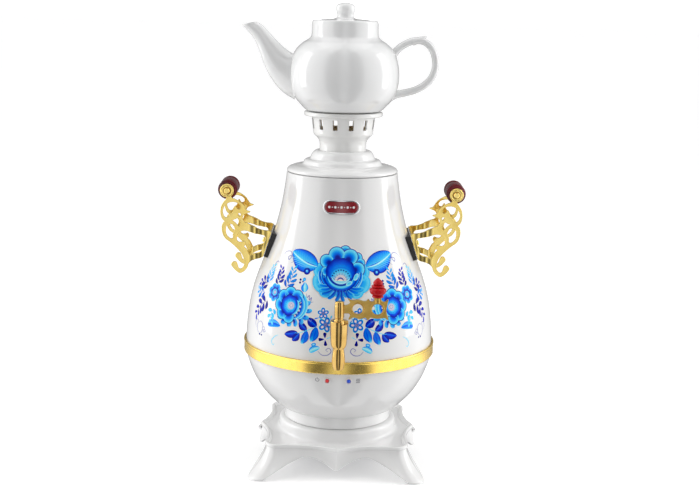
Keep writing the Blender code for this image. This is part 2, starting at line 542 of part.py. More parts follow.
# ---------------------------------------------------------------- carrying handles
boss_arc = []
for k in range(13):
    a = math.radians(-124.0 - (319.0) * k / 12.0)
    boss_arc.append((BOSS_U + 7.2 * math.cos(a), BOSS_Z + 7.2 * math.sin(a)))
grip_half = [(2.5, 0.0), (10.9, 0.0), (10.6, 9.0), (9.7, 16.0), (10.7, 18.0), (10.7, 20.5),
             (9.6, 22.6), (7.6, 24.0), (7.4, 24.7), (2.5, 24.7)]
grip = [(r, -z) for r, z in reversed(grip_half[1:])] + grip_half[2:]
tie = [(0.0, -29.4), (2.6, -29.4), (3.5, -28.8), (3.5, -27.8), (2.1, -27.8), (2.1, 27.8),
       (3.5, 27.8), (3.5, 28.8), (2.6, 29.4), (0.0, 29.4)]
for side_name, sx in (("left", -1.0), ("right", 1.0)):
    holes = [circle(BOSS_U, BOSS_Z, 2.5, 10)] + PLATE_HOLES
    for face_name, y0, y1 in (("front", -PLATE_Y - PLATE_T, -PLATE_Y),
                              ("rear", PLATE_Y, PLATE_Y + PLATE_T)):
        piece("handle_plate_%s_%s" % (side_name, face_name),
              prism([PLATE_EDGE[:-1] + boss_arc[:-1]] + holes, y0, y1,
                    lambda a, b, t, s=sx: Vector((s * a, t, b))), GOLD)
    piece("grip_" + side_name, moved(revolve(grip, 16), along_y(sx * BOSS_U, BOSS_Z)), MAROON)
    piece("grip_rod_" + side_name, moved(revolve(tie, 12), along_y(sx * BOSS_U, BOSS_Z)), GOLD)
    frame = screw_frame(sx)
    half = 14.9
    strip = box(-15.1, 15.1, -28.5, 28.5, -1.7, 0.0)
    # the strip's own x runs down the flank, so turn it to stand along the slope
    slope = Matrix(((-flank_n.z * sx, 0, flank_n.x * sx, sx * strip_u(254.9)),
                    (0, 1, 0, 0), (flank_n.x, 0, flank_n.z, 254.9), (0, 0, 0, 1)))
    screw_hole = moved(rod(2.4, -14.0, 3.0, 10), frame)
    piece("handle_strip_" + side_name, moved(strip, slope), GOLD, cuts=[screw_hole])
    block = box(-14.2, 14.2, -27.6, 27.6, -12.0, -2.0)
    piece("handle_pad_" + side_name, moved(block, slope), RUBBER,
          cuts=[revolve([(0.0, 131.0)] + grown(TANK_OUT, GAP) + [(0.0, 335.2)], N_BIG),
                screw_hole])
    piece("handle_screw_" + side_name,
          moved(revolve([(0.0, -9.0), (2.0, -9.0), (2.0, 0.3), (2.9, 0.3), (2.9, 4.6),
                         (2.3, 5.4), (0.0, 5.4)], 12), frame), GOLD)

# ---------------------------------------------------------------- lid and crown
lid = [(62.9, 336.5), (62.5, 339.1), (60.0, 341.0), (48.0, 343.9), (44.6, 345.4),
       (42.2, 348.7), (40.4, 350.2), (37.2, 351.3), (33.6, 357.5), (31.0, 359.6),
       (26.7, 360.6), (26.7, 354.4), (32.6, 354.0), (34.4, 350.0), (39.2, 347.6),
       (42.4, 343.6), (57.4, 339.4), (57.4, 328.0), (59.0, 328.0), (59.0, 336.5)]
piece("tank_lid", revolve(lid, N_MID), LID_WHITE, pivot=(0, 0, 336.5))
piece("lid_seal", ring(59.3, 60.6, 329.2, 333.0, N_MID), SILICONE, pivot=(0, 0, 336.5))
neck = [(26.2, 350.4), (26.2, 367.4), (27.4, 371.8), (30.0, 375.4), (32.4, 377.3),
        (28.6, 377.3), (24.1, 370.6), (23.8, 350.4)]
piece("crown_neck", revolve(neck, N_MID), CROWN_WHITE, pivot=(0, 0, 336.5))
crown = [(32.9, 377.6), (33.8, 380.0), (35.7, 397.0), (36.8, 398.7), (43.8, 399.5),
         (44.3, 403.2), (43.5, 403.9), (32.4, 403.9), (31.6, 402.9),
         (33.0, 396.5), (31.0, 380.6), (29.4, 377.6)]
windows = []
for k in range(12):
    a = math.radians(15.0 + 30.0 * k)
    slot = [(-2.4, 387.0), (-1.7, 385.4), (0.0, 384.8), (1.7, 385.4), (2.4, 387.0),
            (2.4, 394.2), (1.7, 395.8), (0.0, 396.4), (-1.7, 395.8), (-2.4, 394.2)]
    windows.append(moved(prism([slot], 27.0, 40.0, lambda s, z, t: Vector((t, s, z))),
                         Matrix.Rotation(a, 4, "Z")))
piece("teapot_crown", revolve(crown, N_MID), CROWN_WHITE, cuts=[joined(*windows)],
      pivot=(0, 0, 336.5))
piece("crown_nut", ring(26.5, 31.0, 350.6, 353.7, N_HID), STEEL, pivot=(0, 0, 336.5))

# ---------------------------------------------------------------- teapot
pot_out = [(34.0, 404.2), (38.5, 404.2), (42.8, 405.8), (48.0, 410.9), (54.4, 419.1),
           (59.2, 431.4), (60.2, 445.8), (58.7, 459.1), (54.3, 471.8), (46.4, 480.1),
           (39.4, 484.6), (37.1, 488.6), (37.0, 502.8), (35.9, 504.8), (33.9, 504.4)]
pot_in = [(33.9, 500.3), (31.5, 500.1), (31.5, 488.0), (43.6, 477.6), (51.4, 469.4),
          (55.5, 458.0), (57.0, 445.8), (56.1, 432.5), (51.6, 421.2), (44.6, 412.6),
          (38.0, 408.8), (0.0, 407.8), (0.0, 405.6), (34.0, 405.6)]
spout = [(-46.0, 0.0, 441.0), (-58.0, 0.0, 445.5), (-72.0, 0.0, 456.5), (-82.0, 0.0, 469.0),
         (-91.0, 0.0, 483.0), (-98.0, 0.0, 492.0), (-106.3, 0.0, 499.9)]
spout_size = [(23.0, 16.5), (21.5, 15.0), (17.0, 12.4), (13.0, 10.0), (9.4, 7.6), (7.8, 6.4),
              (7.0, 5.6)]
bore = [(-59.8, 0.0, 447.0), (-72.0, 0.0, 457.5), (-82.0, 0.0, 469.8), (-91.0, 0.0, 483.6),
        (-98.0, 0.0, 492.6), (-109.0, 0.0, 502.9)]
bore_size = [(13.0, 10.5), (12.5, 9.2), (9.8, 7.4), (6.8, 5.4), (5.4, 4.3), (5.0, 3.8)]
ear = [(50.0, 0.0, 463.0), (57.5, 0.0, 472.4), (66.0, 0.0, 479.4), (76.0, 0.0, 484.2),
       (86.5, 0.0, 483.2), (95.0, 0.0, 475.0), (99.3, 0.0, 460.0), (96.6, 0.0, 445.6),
       (88.0, 0.0, 434.6), (75.0, 0.0, 427.8), (62.0, 0.0, 424.6), (48.0, 0.0, 421.0)]
ear_size = [(5.4, 6.6), (4.4, 5.8), (3.7, 5.2), (3.5, 5.0), (3.5, 5.0), (3.5, 4.9), (3.5, 4.8),
            (3.6, 4.8), (3.7, 4.9), (3.8, 5.1), (4.4, 5.6), (5.6, 6.4)]
spur = [(84.0, 0.0, 484.0), (87.6, 0.0, 486.6), (91.4, 0.0, 488.4)]
strain = [moved(rod(1.7, -66.0, -50.0, 7), at(0.0, y, z) @ Matrix.Rotation(math.pi / 2, 4, "Y"))
          for y, z in ((0.37, 448.3), (-4.6, 448.6), (5.3, 448.9), (0.41, 453.2), (0.29, 443.1))]
POT = (0.0, 0.0, 404.2)
piece("teapot_body", revolve(pot_out + pot_in, N_MID), PORCELAIN, pivot=POT, cuts=strain)
apart = revolve([(0.0, 404.0)] + grown(pot_out, GAP) + [(0.0, 505.2)], N_MID)
piece("teapot_spout", sweep(spout, spout_size, 12), PORCELAIN, pivot=POT,
      cuts=[apart, sweep(bore, bore_size, 10)])
piece("teapot_handle", sweep(ear, ear_size, 8), PORCELAIN, pivot=POT,
      adds=[sweep(spur, [(3.4, 4.6), (2.4, 3.6), (0.8, 1.6)], 8)], cuts=[apart])
pot_lid = [(31.0, 493.0), (31.0, 500.5), (33.5, 500.8), (33.6, 502.8), (30.0, 504.8),
           (20.0, 506.2), (11.0, 506.9), (8.9, 507.8), (8.5, 509.6), (9.6, 512.6),
           (10.4, 516.6), (9.8, 520.3), (7.4, 522.8), (3.6, 523.9), (0.0, 524.1),
           (0.0, 504.4), (18.0, 503.6), (28.4, 501.6), (29.2, 493.0)]
piece("teapot_lid", revolve(pot_lid, 24), PORCELAIN, pivot=(0.0, 0.0, 500.4),
      cuts=[moved(rod(1.3, 498.0, 510.0, 8), at(0.0, 19.0, 0.0))])

# ---------------------------------------------------------------- root and placing
root = bpy.data.objects.new("samovar_root", None)
root.empty_display_size = 0.05
scene.collection.objects.link(root)
for obj in PIECES:
    obj.parent = root
bpy.context.view_layer.update()
low = min((obj.matrix_world @ v.co).y for obj in PIECES for v in obj.data.vertices)
high = max((obj.matrix_world @ v.co).y for obj in PIECES for v in obj.data.vertices)
root.location = (0.0, -(low + high) / 2.0, 0.0)
bpy.context.view_layer.update()
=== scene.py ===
import json
import math

import bmesh
import bpy
import numpy as np
from mathutils import Matrix, Vector

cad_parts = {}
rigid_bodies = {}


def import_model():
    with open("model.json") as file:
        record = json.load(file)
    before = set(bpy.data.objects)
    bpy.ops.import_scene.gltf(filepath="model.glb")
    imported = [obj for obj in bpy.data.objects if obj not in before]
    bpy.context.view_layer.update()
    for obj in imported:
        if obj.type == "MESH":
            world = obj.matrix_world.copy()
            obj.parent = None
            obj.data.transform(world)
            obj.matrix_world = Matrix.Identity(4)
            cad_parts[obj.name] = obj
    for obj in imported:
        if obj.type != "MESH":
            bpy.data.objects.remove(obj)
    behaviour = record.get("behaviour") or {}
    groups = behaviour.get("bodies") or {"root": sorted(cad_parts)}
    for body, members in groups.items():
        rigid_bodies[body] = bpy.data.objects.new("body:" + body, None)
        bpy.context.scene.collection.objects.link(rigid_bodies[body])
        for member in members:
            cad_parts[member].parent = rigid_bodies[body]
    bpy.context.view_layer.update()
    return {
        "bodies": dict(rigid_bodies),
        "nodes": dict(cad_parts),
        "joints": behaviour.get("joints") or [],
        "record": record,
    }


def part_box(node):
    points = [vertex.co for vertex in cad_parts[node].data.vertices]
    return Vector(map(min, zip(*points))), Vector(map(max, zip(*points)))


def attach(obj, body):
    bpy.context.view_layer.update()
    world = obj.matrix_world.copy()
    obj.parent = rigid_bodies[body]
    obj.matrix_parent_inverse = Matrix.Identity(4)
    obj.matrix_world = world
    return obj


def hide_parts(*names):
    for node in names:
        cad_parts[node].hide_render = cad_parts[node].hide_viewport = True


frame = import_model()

tank_lo, tank_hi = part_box("tank_shell")
AY = (tank_lo.y + tank_hi.y) / 2          # the samovar's axis in the row frame
MM = 0.001
TAU = 2 * math.pi

# ------------------------------------------------------------------ colour
def lin(rgb):
    c = np.asarray(rgb, float) / 255.0
    return np.where(c <= 0.04045, c / 12.92, ((c + 0.055) / 1.055) ** 2.4)


NAVY, DEEP, ROYAL = lin((4, 14, 132)), lin((0, 34, 196)), lin((0, 76, 236))
MID, SKY, CYAN, PALE = lin((0, 128, 252)), lin((30, 182, 255)), lin((96, 222, 255)), lin((184, 248, 255))
LAV, CREAM, INDIGO, HALO = lin((168, 172, 216)), lin((250, 230, 212)), lin((34, 48, 160)), lin((243, 236, 226))
SLATE = lin((70, 78, 110))


def ramp(stops, t):
    t = np.asarray(t, float)
    xs = [s[0] for s in stops]
    return np.stack([np.interp(t, xs, [s[1][k] for s in stops]) for k in range(3)], -1)


# ------------------------------------------------------------------ materials
def nodes_of(mat):
    return mat.node_tree.nodes, mat.node_tree.links


def base_material(name, color, rough, metal=0.0, coat=0.0, coat_rough=0.05, spec=None, ior=None):
    mat = bpy.data.materials.new(name)
    mat.use_nodes = True
    bsdf = mat.node_tree.nodes["Principled BSDF"]
    bsdf.inputs["Base Color"].default_value = (*color, 1.0)
    bsdf.inputs["Roughness"].default_value = rough
    bsdf.inputs["Metallic"].default_value = metal
    bsdf.inputs["Coat Weight"].default_value = coat
    bsdf.inputs["Coat Roughness"].default_value = coat_rough
    if ior:
        bsdf.inputs["IOR"].default_value = ior
    return mat, bsdf


def add_noise(mat, scale, detail=4.0, rough=0.5, stretch=None):
    nodes, links = nodes_of(mat)
    coord = nodes.new("ShaderNodeTexCoord")
    noise = nodes.new("ShaderNodeTexNoise")
    noise.inputs["Scale"].default_value = scale
    noise.inputs["Detail"].default_value = detail
    noise.inputs["Roughness"].default_value = rough
    if stretch:
        mapping = nodes.new("ShaderNodeMapping")
        mapping.inputs["Scale"].default_value = stretch
        links.new(coord.outputs["Object"], mapping.inputs["Vector"])
        links.new(mapping.outputs["Vector"], noise.inputs["Vector"])
    else:
        links.new(coord.outputs["Object"], noise.inputs["Vector"])
    return noise


def remap(mat, source, lo, hi, from_lo=0.3, from_hi=0.7):
    nodes, links = nodes_of(mat)
    node = nodes.new("ShaderNodeMapRange")
    node.inputs["From Min"].default_value = from_lo
    node.inputs["From Max"].default_value = from_hi
    node.inputs["To Min"].default_value = lo
    node.inputs["To Max"].default_value = hi
    links.new(source, node.inputs["Value"])
    return node.outputs["Result"]


def vary_rough(mat, lo, hi, scale, stretch=None, detail=4.0):
    noise = add_noise(mat, scale, detail, 0.55, stretch)
    bsdf = mat.node_tree.nodes["Principled BSDF"]
    mat.node_tree.links.new(remap(mat, noise.outputs["Fac"], lo, hi), bsdf.inputs["Roughness"])


def vary_color(mat, c0, c1, scale, stretch=None, detail=4.0):
    nodes, links = nodes_of(mat)
    noise = add_noise(mat, scale, detail, 0.55, stretch)
    mix = nodes.new("ShaderNodeMix")
    mix.data_type = "RGBA"
    mix.inputs["A"].default_value = (*c0, 1.0)
    mix.inputs["B"].default_value = (*c1, 1.0)
    links.new(remap(mat, noise.outputs["Fac"], 0.0, 1.0), mix.inputs["Factor"])
    links.new(mix.outputs["Result"], nodes["Principled BSDF"].inputs["Base Color"])
    return mix


def add_bump(mat, scale, strength, distance, stretch=None, detail=3.0, kind="noise", coat=False):
    nodes, links = nodes_of(mat)
    bsdf = nodes["Principled BSDF"]
    if kind == "noise":
        tex = add_noise(mat, scale, detail, 0.5, stretch)
        height = tex.outputs["Fac"]
    else:
        coord = nodes.new("ShaderNodeTexCoord")
        tex = nodes.new("ShaderNodeTexVoronoi")
        tex.inputs["Scale"].default_value = scale
        links.new(coord.outputs["Object"], tex.inputs["Vector"])
        height = tex.outputs["Distance"]
    bump = nodes.new("ShaderNodeBump")
    bump.inputs["Strength"].default_value = strength
    bump.inputs["Distance"].default_value = distance
    links.new(height, bump.inputs["Height"])
    links.new(bump.outputs["Normal"], bsdf.inputs["Normal"])
    if coat:
        links.new(bump.outputs["Normal"], bsdf.inputs["Coat Normal"])
    return bump


def enamel(name, tone, warm=0.0):
    """Stoved gloss enamel: faint orange peel and very slight tone drift."""
    c0 = (tone, tone - 0.002, tone - 0.006 - warm)
    c1 = (tone - 0.02, tone - 0.021, tone - 0.024 - warm)
    mat, bsdf = base_material(name, c0, 0.10, coat=0.35, coat_rough=0.03, ior=1.52)
    vary_color(mat, c0, c1, 14.0)
    vary_rough(mat, 0.07, 0.14, 60.0)
    add_bump(mat, 420.0, 0.035, 0.0002, detail=2.0, coat=True)
    return mat


def porcelain(name):
    c0, c1 = (0.82, 0.822, 0.82), (0.795, 0.798, 0.798)
    mat, bsdf = base_material(name, c0, 0.08, coat=0.5, coat_rough=0.02, ior=1.54)
    bsdf.inputs["Subsurface Weight"].default_value = 0.08
    bsdf.inputs["Subsurface Radius"].default_value = (0.004, 0.004, 0.004)
    bsdf.inputs["Subsurface Scale"].default_value = 0.4
    vary_color(mat, c0, c1, 22.0)
    vary_rough(mat, 0.05, 0.11, 45.0)
    add_bump(mat, 160.0, 0.05, 0.0004, detail=2.0, coat=True)
    return mat


def plated(name, color, dark, rough_lo, rough_hi, scratch=0.05, coat=0.0, scale=900.0):
    mat, bsdf = base_material(name, color, rough_lo, metal=1.0, coat=coat)
    vary_color(mat, color, dark, 90.0, detail=5.0)
    vary_rough(mat, rough_lo, rough_hi, 240.0, detail=6.0)
    add_bump(mat, scale, scratch, 0.0002, detail=4.0)
    return mat


ENAMEL = enamel("enamel_white", 0.80)
BASE_ENAMEL = enamel("enamel_base", 0.85)
LID_ENAMEL = enamel("enamel_lid", 0.84)
CROWN_ENAMEL = enamel("enamel_crown", 0.80, warm=0.01)
GLAZE = porcelain("glazed_porcelain")
GOLD = plated("gold_handles", (1.0, 0.79, 0.27), (0.95, 0.70, 0.19), 0.10, 0.18, 0.02)
GOLD_BAND = plated("gold_band", (1.0, 0.72, 0.19), (0.94, 0.65, 0.15), 0.22, 0.30, 0.03)
BRASS = plated("brass_tap", (0.64, 0.42, 0.14), (0.52, 0.32, 0.09), 0.12, 0.19, 0.03)
LEVER = plated("cast_lever", (0.66, 0.44, 0.12), (0.48, 0.30, 0.07), 0.26, 0.40, 0.30, scale=380.0)
STEEL = plated("steel_parts", (0.60, 0.60, 0.61), (0.50, 0.50, 0.52), 0.22, 0.38, 0.06)
CHROME = plated("chrome_bezel", (0.80, 0.80, 0.82), (0.72, 0.72, 0.75), 0.05, 0.12, 0.02)

RED = base_material("red_knob", (0.44, 0.003, 0.005), 0.20, coat=0.0, coat_rough=0.05, ior=1.27)[0]
vary_color(RED, (0.54, 0.008, 0.012), (0.42, 0.004, 0.008), 60.0)
vary_rough(RED, 0.10, 0.20, 120.0)
add_bump(RED, 300.0, 0.05, 0.0003, detail=2.0)
GRIP = base_material("maroon_grip", (0.10, 0.006, 0.012), 0.26, coat=0.0, coat_rough=0.06, ior=1.22)[0]
vary_color(GRIP, (0.15, 0.004, 0.010), (0.05, 0.002, 0.005), 55.0, stretch=(1.0, 0.16, 1.0), detail=6.0)
vary_rough(GRIP, 0.16, 0.28, 140.0)
add_bump(GRIP, 260.0, 0.06, 0.0003, stretch=(1.0, 0.12, 1.0))
PILL = base_material("badge_enamel", (0.13, 0.010, 0.020), 0.12, coat=0.6, coat_rough=0.03)[0]
vary_color(PILL, (0.30, 0.016, 0.024), (0.20, 0.010, 0.018), 180.0)
add_bump(PILL, 420.0, 0.05, 0.0002)
RUBBER = base_material("rubber_black", (0.025, 0.025, 0.026), 0.72)[0]
vary_color(RUBBER, (0.030, 0.030, 0.031), (0.018, 0.018, 0.019), 160.0)
vary_rough(RUBBER, 0.62, 0.82, 300.0)
add_bump(RUBBER, 900.0, 0.25, 0.0003)
INSUL = base_material("insulator_black", (0.022, 0.022, 0.022), 0.45)[0]
vary_color(INSUL, (0.028, 0.027, 0.026), (0.016, 0.016, 0.016), 200.0)
vary_rough(INSUL, 0.36, 0.52, 420.0)
add_bump(INSUL, 1200.0, 0.15, 0.0002, kind="voronoi")
PLASTIC = base_material("plastic_black", (0.030, 0.030, 0.031), 0.42)[0]
vary_color(PLASTIC, (0.036, 0.036, 0.037), (0.024, 0.024, 0.025), 90.0)
vary_rough(PLASTIC, 0.34, 0.50, 380.0)
add_bump(PLASTIC, 1500.0, 0.20, 0.0002, kind="voronoi")
SILICONE = base_material("silicone_white", (0.66, 0.66, 0.64), 0.55)[0]
vary_color(SILICONE, (0.70, 0.70, 0.68), (0.62, 0.62, 0.60), 80.0)
add_bump(SILICONE, 500.0, 0.12, 0.0003)
BOARD = base_material("circuit_board", (0.02, 0.14, 0.06), 0.42)[0]
vary_color(BOARD, (0.03, 0.19, 0.08), (0.012, 0.10, 0.04), 220.0, detail=8.0)
add_bump(BOARD, 700.0, 0.2, 0.0003)
LENS_R = base_material("lens_red", (0.62, 0.015, 0.02), 0.10, coat=0.5, coat_rough=0.02)[0]
LENS_B = base_material("lens_blue", (0.008, 0.07, 0.60), 0.10, coat=0.5, coat_rough=0.02)[0]
for lens, rgb, power in ((LENS_R, (0.9, 0.02, 0.03), 0.10), (LENS_B, (0.02, 0.12, 0.9), 0.10)):
    node = lens.node_tree.nodes["Principled BSDF"]
    node.inputs["Emission Color"].default_value = (*rgb, 1.0)
    node.inputs["Emission Strength"].default_value = power
    vary_rough(lens, 0.07, 0.16, 400.0)
    add_bump(lens, 900.0, 0.08, 0.0002)
BEZEL = base_material("bezel_pale", (0.74, 0.70, 0.71), 0.30, coat=0.2)[0]
vary_color(BEZEL, (0.78, 0.74, 0.75), (0.68, 0.65, 0.66), 300.0)
add_bump(BEZEL, 900.0, 0.08, 0.0002)
CROWN_IN = base_material("crown_inner", (0.90, 0.74, 0.50), 0.5)[0]
vary_color(CROWN_IN, (0.95, 0.80, 0.55), (0.84, 0.68, 0.44), 120.0, detail=6.0)
vary_rough(CROWN_IN, 0.40, 0.62, 200.0)
add_bump(CROWN_IN, 500.0, 0.15, 0.0003)
SHEET = plated("tank_inner_steel", (0.58, 0.58, 0.59), (0.48, 0.48, 0.50), 0.25, 0.42, 0.08)


def painted(name):
    """Fired-on print with a gloss of its own, without the enamel's coat: colour from the strokes' own attribute."""
    mat, bsdf = base_material(name, (0.3, 0.5, 0.9), 0.20, coat=0.0, coat_rough=0.04, ior=1.20)
    nodes, links = nodes_of(mat)
    attr = nodes.new("ShaderNodeAttribute")
    attr.attribute_name = "stroke"
    noise = add_noise(mat, 700.0, 5.0, 0.6)
    tone = nodes.new("ShaderNodeMix")
    tone.data_type = "RGBA"
    tone.blend_type = "MULTIPLY"
    tone.inputs["Factor"].default_value = 1.0
    shade = nodes.new("ShaderNodeCombineColor")
    value = remap(mat, noise.outputs["Fac"], 0.90, 1.06)
    for k in ("Red", "Green", "Blue"):
        links.new(value, shade.inputs[k])
    links.new(attr.outputs["Color"], tone.inputs["A"])
    links.new(shade.outputs["Color"], tone.inputs["B"])
    links.new(tone.outputs["Result"], bsdf.inputs["Base Color"])
    vary_rough(mat, 0.10, 0.18, 60.0)
    add_bump(mat, 420.0, 0.035, 0.0002, detail=2.0, coat=True)
    return mat


PRINT = painted("fired_print")

# ------------------------------------------------------------------ shapes
def spline(points, step=1.0, closed=False):
    """Centripetal Catmull-Rom through the points, resampled about every step."""
    p = np.asarray(points, float)
    if len(p) < 3 and not closed:
        n = max(2, int(np.linalg.norm(p[1] - p[0]) / step) + 1)
        return p[0] + (p[1] - p[0]) * np.linspace(0, 1, n)[:, None]
    if closed:
        p = np.vstack([p[-1], p, p[0], p[1]])
    else:
        p = np.vstack([2 * p[0] - p[1], p, 2 * p[-1] - p[-2]])
    out = []
    for i in range(1, len(p) - 2):
        p0, p1, p2, p3 = p[i - 1:i + 3]
        d = [max(np.linalg.norm(b - a), 1e-9) ** 0.5 for a, b in ((p0, p1), (p1, p2), (p2, p3))]
        n = max(1, int(math.ceil(np.linalg.norm(p2 - p1) / step)))
        m1 = (p1 - p0) / d[0] - (p2 - p0) / (d[0] + d[1]) + (p2 - p1) / d[1]
        m2 = (p2 - p1) / d[1] - (p3 - p1) / (d[1] + d[2]) + (p3 - p2) / d[2]
        m1, m2 = m1 * d[1], m2 * d[1]
        t = np.linspace(0, 1, n, endpoint=False)[:, None]
        out.append((2 * t ** 3 - 3 * t ** 2 + 1) * p1 + (t ** 3 - 2 * t ** 2 + t) * m1
                   + (-2 * t ** 3 + 3 * t ** 2) * p2 + (t ** 3 - t ** 2) * m2)
    if not closed:
        out.append(p[-2][None])
    return np.vstack(out)


def chain(*segments, step=1.0):
    """Segments are smoothed on their own, so that the points where they meet stay corners."""
    out = [spline(s, step) if len(s) > 2 else np.asarray(s, float) for s in segments]
    joined = [out[0]]
    for s in out[1:]:
        joined.append(s[1:] if np.linalg.norm(s[0] - joined[-1][-1]) < 1e-6 else s)
    return np.vstack(joined)


def make(name, verts, faces, mat, body, replaces=(), slot=None, sharp=40.0, place=None, flip=True):
    """Mesh in millimetres about the samovar's axis, put in the row frame and riding on a body."""
    v = np.asarray(verts, float)
    if place is not None:
        v = v @ np.array(place)[:3, :3].T + np.array(place)[:3, 3]
    v = v * MM + np.array([0.0, AY, 0.0])
    mesh = bpy.data.meshes.new(name)
    mesh.from_pydata(v.tolist(), [], faces)
    work = bmesh.new()
    work.from_mesh(mesh)
    bmesh.ops.remove_doubles(work, verts=work.verts, dist=1e-7)
    if flip:
        bmesh.ops.recalc_face_normals(work, faces=work.faces)
    work.to_mesh(mesh)
    work.free()
    obj = bpy.data.objects.new(name, mesh)
    bpy.context.scene.collection.objects.link(obj)
    mesh.materials.append(mat)
    mesh.shade_smooth()
    if sharp:
        mesh.set_sharp_from_angle(angle=math.radians(sharp))
    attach(obj, body)
    if replaces:
        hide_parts(*replaces)
    return obj


def lathe_mesh(profile, n, phase=0.0):
    profile = np.asarray(profile, float)
    m = len(profile)
    a = phase + TAU * np.arange(n) / n
    r, z = profile[:, 0:1], profile[:, 1:2]
    v = np.stack([r * np.cos(a), r * np.sin(a), np.repeat(z, n, 1)], -1).reshape(-1, 3)
    faces = []
    for i in range(m):
        j = (i + 1) % m
        if profile[i, 0] < 1e-6 and profile[j, 0] < 1e-6:
            continue
        for k in range(n):
            l = (k + 1) % n
            f = (i * n + k, i * n + l, j * n + l, j * n + k)
            if profile[i, 0] < 1e-6:
                f = (i * n, j * n + l, j * n + k)
            elif profile[j, 0] < 1e-6:
                f = (i * n + k, i * n + l, j * n)
            faces.append(f)
    return v, faces


def compact(v, faces):
    used = sorted({i for f in faces for i in f})
    index = {old: new for new, old in enumerate(used)}
    return np.asarray(v)[used], [tuple(index[i] for i in f) for f in faces]


def lathe(name, profile, mat, body, n=160, **kw):
    v, f = compact(*lathe_mesh(profile, n))
    return make(name, v, f, mat, body, **kw)


def tube(path, sizes, n=20, side=(0.0, 1.0, 0.0), superness=2.0):
    """Swept closed tube; sizes are (in-plane, sideways) half widths for each path point."""
    path, sizes, side = np.asarray(path, float), np.asarray(sizes, float), np.asarray(side, float)
    tangent = np.gradient(path, axis=0)
    tangent /= np.linalg.norm(tangent, axis=1)[:, None]
    up = np.cross(tangent, side)
    up /= np.linalg.norm(up, axis=1)[:, None]
    across = np.cross(up, tangent)
    a = TAU * (np.arange(n) + 0.5) / n
    ca, sa = np.cos(a), np.sin(a)
    e = 2.0 / superness
    ca, sa = np.sign(ca) * np.abs(ca) ** e, np.sign(sa) * np.abs(sa) ** e
    v = (path[:, None] + up[:, None] * (sizes[:, 0:1] * ca)[..., None]
         + across[:, None] * (sizes[:, 1:2] * sa)[..., None]).reshape(-1, 3)
    m = len(path)
    faces = [(i * n + k, i * n + (k + 1) % n, (i + 1) * n + (k + 1) % n, (i + 1) * n + k)
             for i in range(m - 1) for k in range(n)]
    faces.append(tuple(range(n - 1, -1, -1)))
    faces.append(tuple(range((m - 1) * n, m * n)))
    return v, faces


def flat_curve(name, loops, half, bevel, mat, body, to3d, closed_step=0.9, bend=None, **kw):
    """Plate with rounded edges from a 2-D outline and holes, built by a filled curve."""
    curve = bpy.data.curves.new(name + "_c", "CURVE")
    curve.dimensions = "2D"
    curve.fill_mode = "BOTH"
    curve.extrude = (half - bevel)
    curve.bevel_depth = bevel
    curve.bevel_resolution = 2
    for loop in loops:
        pts = spline(loop, closed_step, closed=True)
        s = curve.splines.new("POLY")
        s.points.add(len(pts) - 1)
        for q, p in zip(s.points, pts):
            q.co = (p[0], p[1], 0.0, 1.0)
        s.use_cyclic_u = True
    tmp = bpy.data.objects.new(name + "_t", curve)
    bpy.context.scene.collection.objects.link(tmp)
    bpy.context.view_layer.update()
    mesh = bpy.data.meshes.new_from_object(tmp.evaluated_get(bpy.context.evaluated_depsgraph_get()))
    work = bmesh.new()
    work.from_mesh(mesh)
    bmesh.ops.remove_doubles(work, verts=work.verts, dist=1e-4)
    if bend is not None:                                  # rows of points across the part that bends
        for u in np.arange(78.5, 107.0, 0.95):
            bmesh.ops.bisect_plane(work, geom=work.verts[:] + work.edges[:] + work.faces[:], dist=1e-5,
                                   plane_co=(u, 0, 0), plane_no=(1, 0, 0))
    work.to_mesh(mesh)
    work.free()
    v = np.zeros(len(mesh.vertices) * 3)
    mesh.vertices.foreach_get("co", v)
    v = v.reshape(-1, 3)
    faces = [tuple(p.vertices) for p in mesh.polygons]
    bpy.data.objects.remove(tmp, do_unlink=True)
    if bend is not None:
        v = bend(v)
    obj = make(name, to3d(v), faces, mat, body, **kw)
    even = obj.modifiers.new("even", "WEIGHTED_NORMAL")
    even.keep_sharp = True
    even.weight = 80
    return obj


def turn_y(x, z):
    return np.array(((1, 0, 0, x), (0, 0, 1, 0), (0, -1, 0, z), (0, 0, 0, 1)), float)


def shift(x, y, z):
    m = np.eye(4)
    m[:3, 3] = (x, y, z)
    return m


# ------------------------------------------------------------------ tank, bowl and band
TANK = spline([(107.3, 131.3), (107.45, 141.0), (107.2, 151.0), (106.5, 160.5), (105.3, 171.5),
               (103.4, 185.0), (100.4, 199.0), (96.6, 211.8), (92.3, 224.0), (88.0, 235.6),
               (83.6, 247.5), (79.2, 259.5), (75.2, 271.5), (71.3, 286.0), (68.0, 300.5),
               (65.2, 317.5), (63.6, 329.0), (63.1, 334.4)], 1.6)
rim = spline([(63.1, 334.4), (62.9, 335.3), (62.2, 335.8), (61.4, 335.4), (61.1, 334.4)], 0.3)
inner = spline([(61.1, 334.4), (61.8, 329.0), (63.4, 317.5), (66.2, 300.5), (69.5, 286.0),
                (73.4, 271.5), (77.4, 259.5), (81.8, 247.5), (86.2, 235.6), (90.5, 224.0),
                (94.8, 211.8), (98.6, 199.0), (101.6, 185.0), (103.5, 171.5), (105.3, 151.0),
                (105.5, 137.6)], 4.0)
profile = np.vstack([[(105.6, 131.3)], TANK, rim[1:], inner[1:]])
tank = lathe("tank_enamelled", profile, ENAMEL, "samovar", n=224, replaces=("tank_shell",),
             slot="white_enamel", sharp=50.0)
tank.data.materials.append(SHEET)
for poly in tank.data.polygons:
    c = poly.center
    r = math.hypot(c[0], c[1] - AY) / MM
    z = c[2] / MM
    if z < 334.0 and r < np.interp(z, TANK[:, 1], TANK[:, 0]) - 0.9:
        poly.material_index = 1

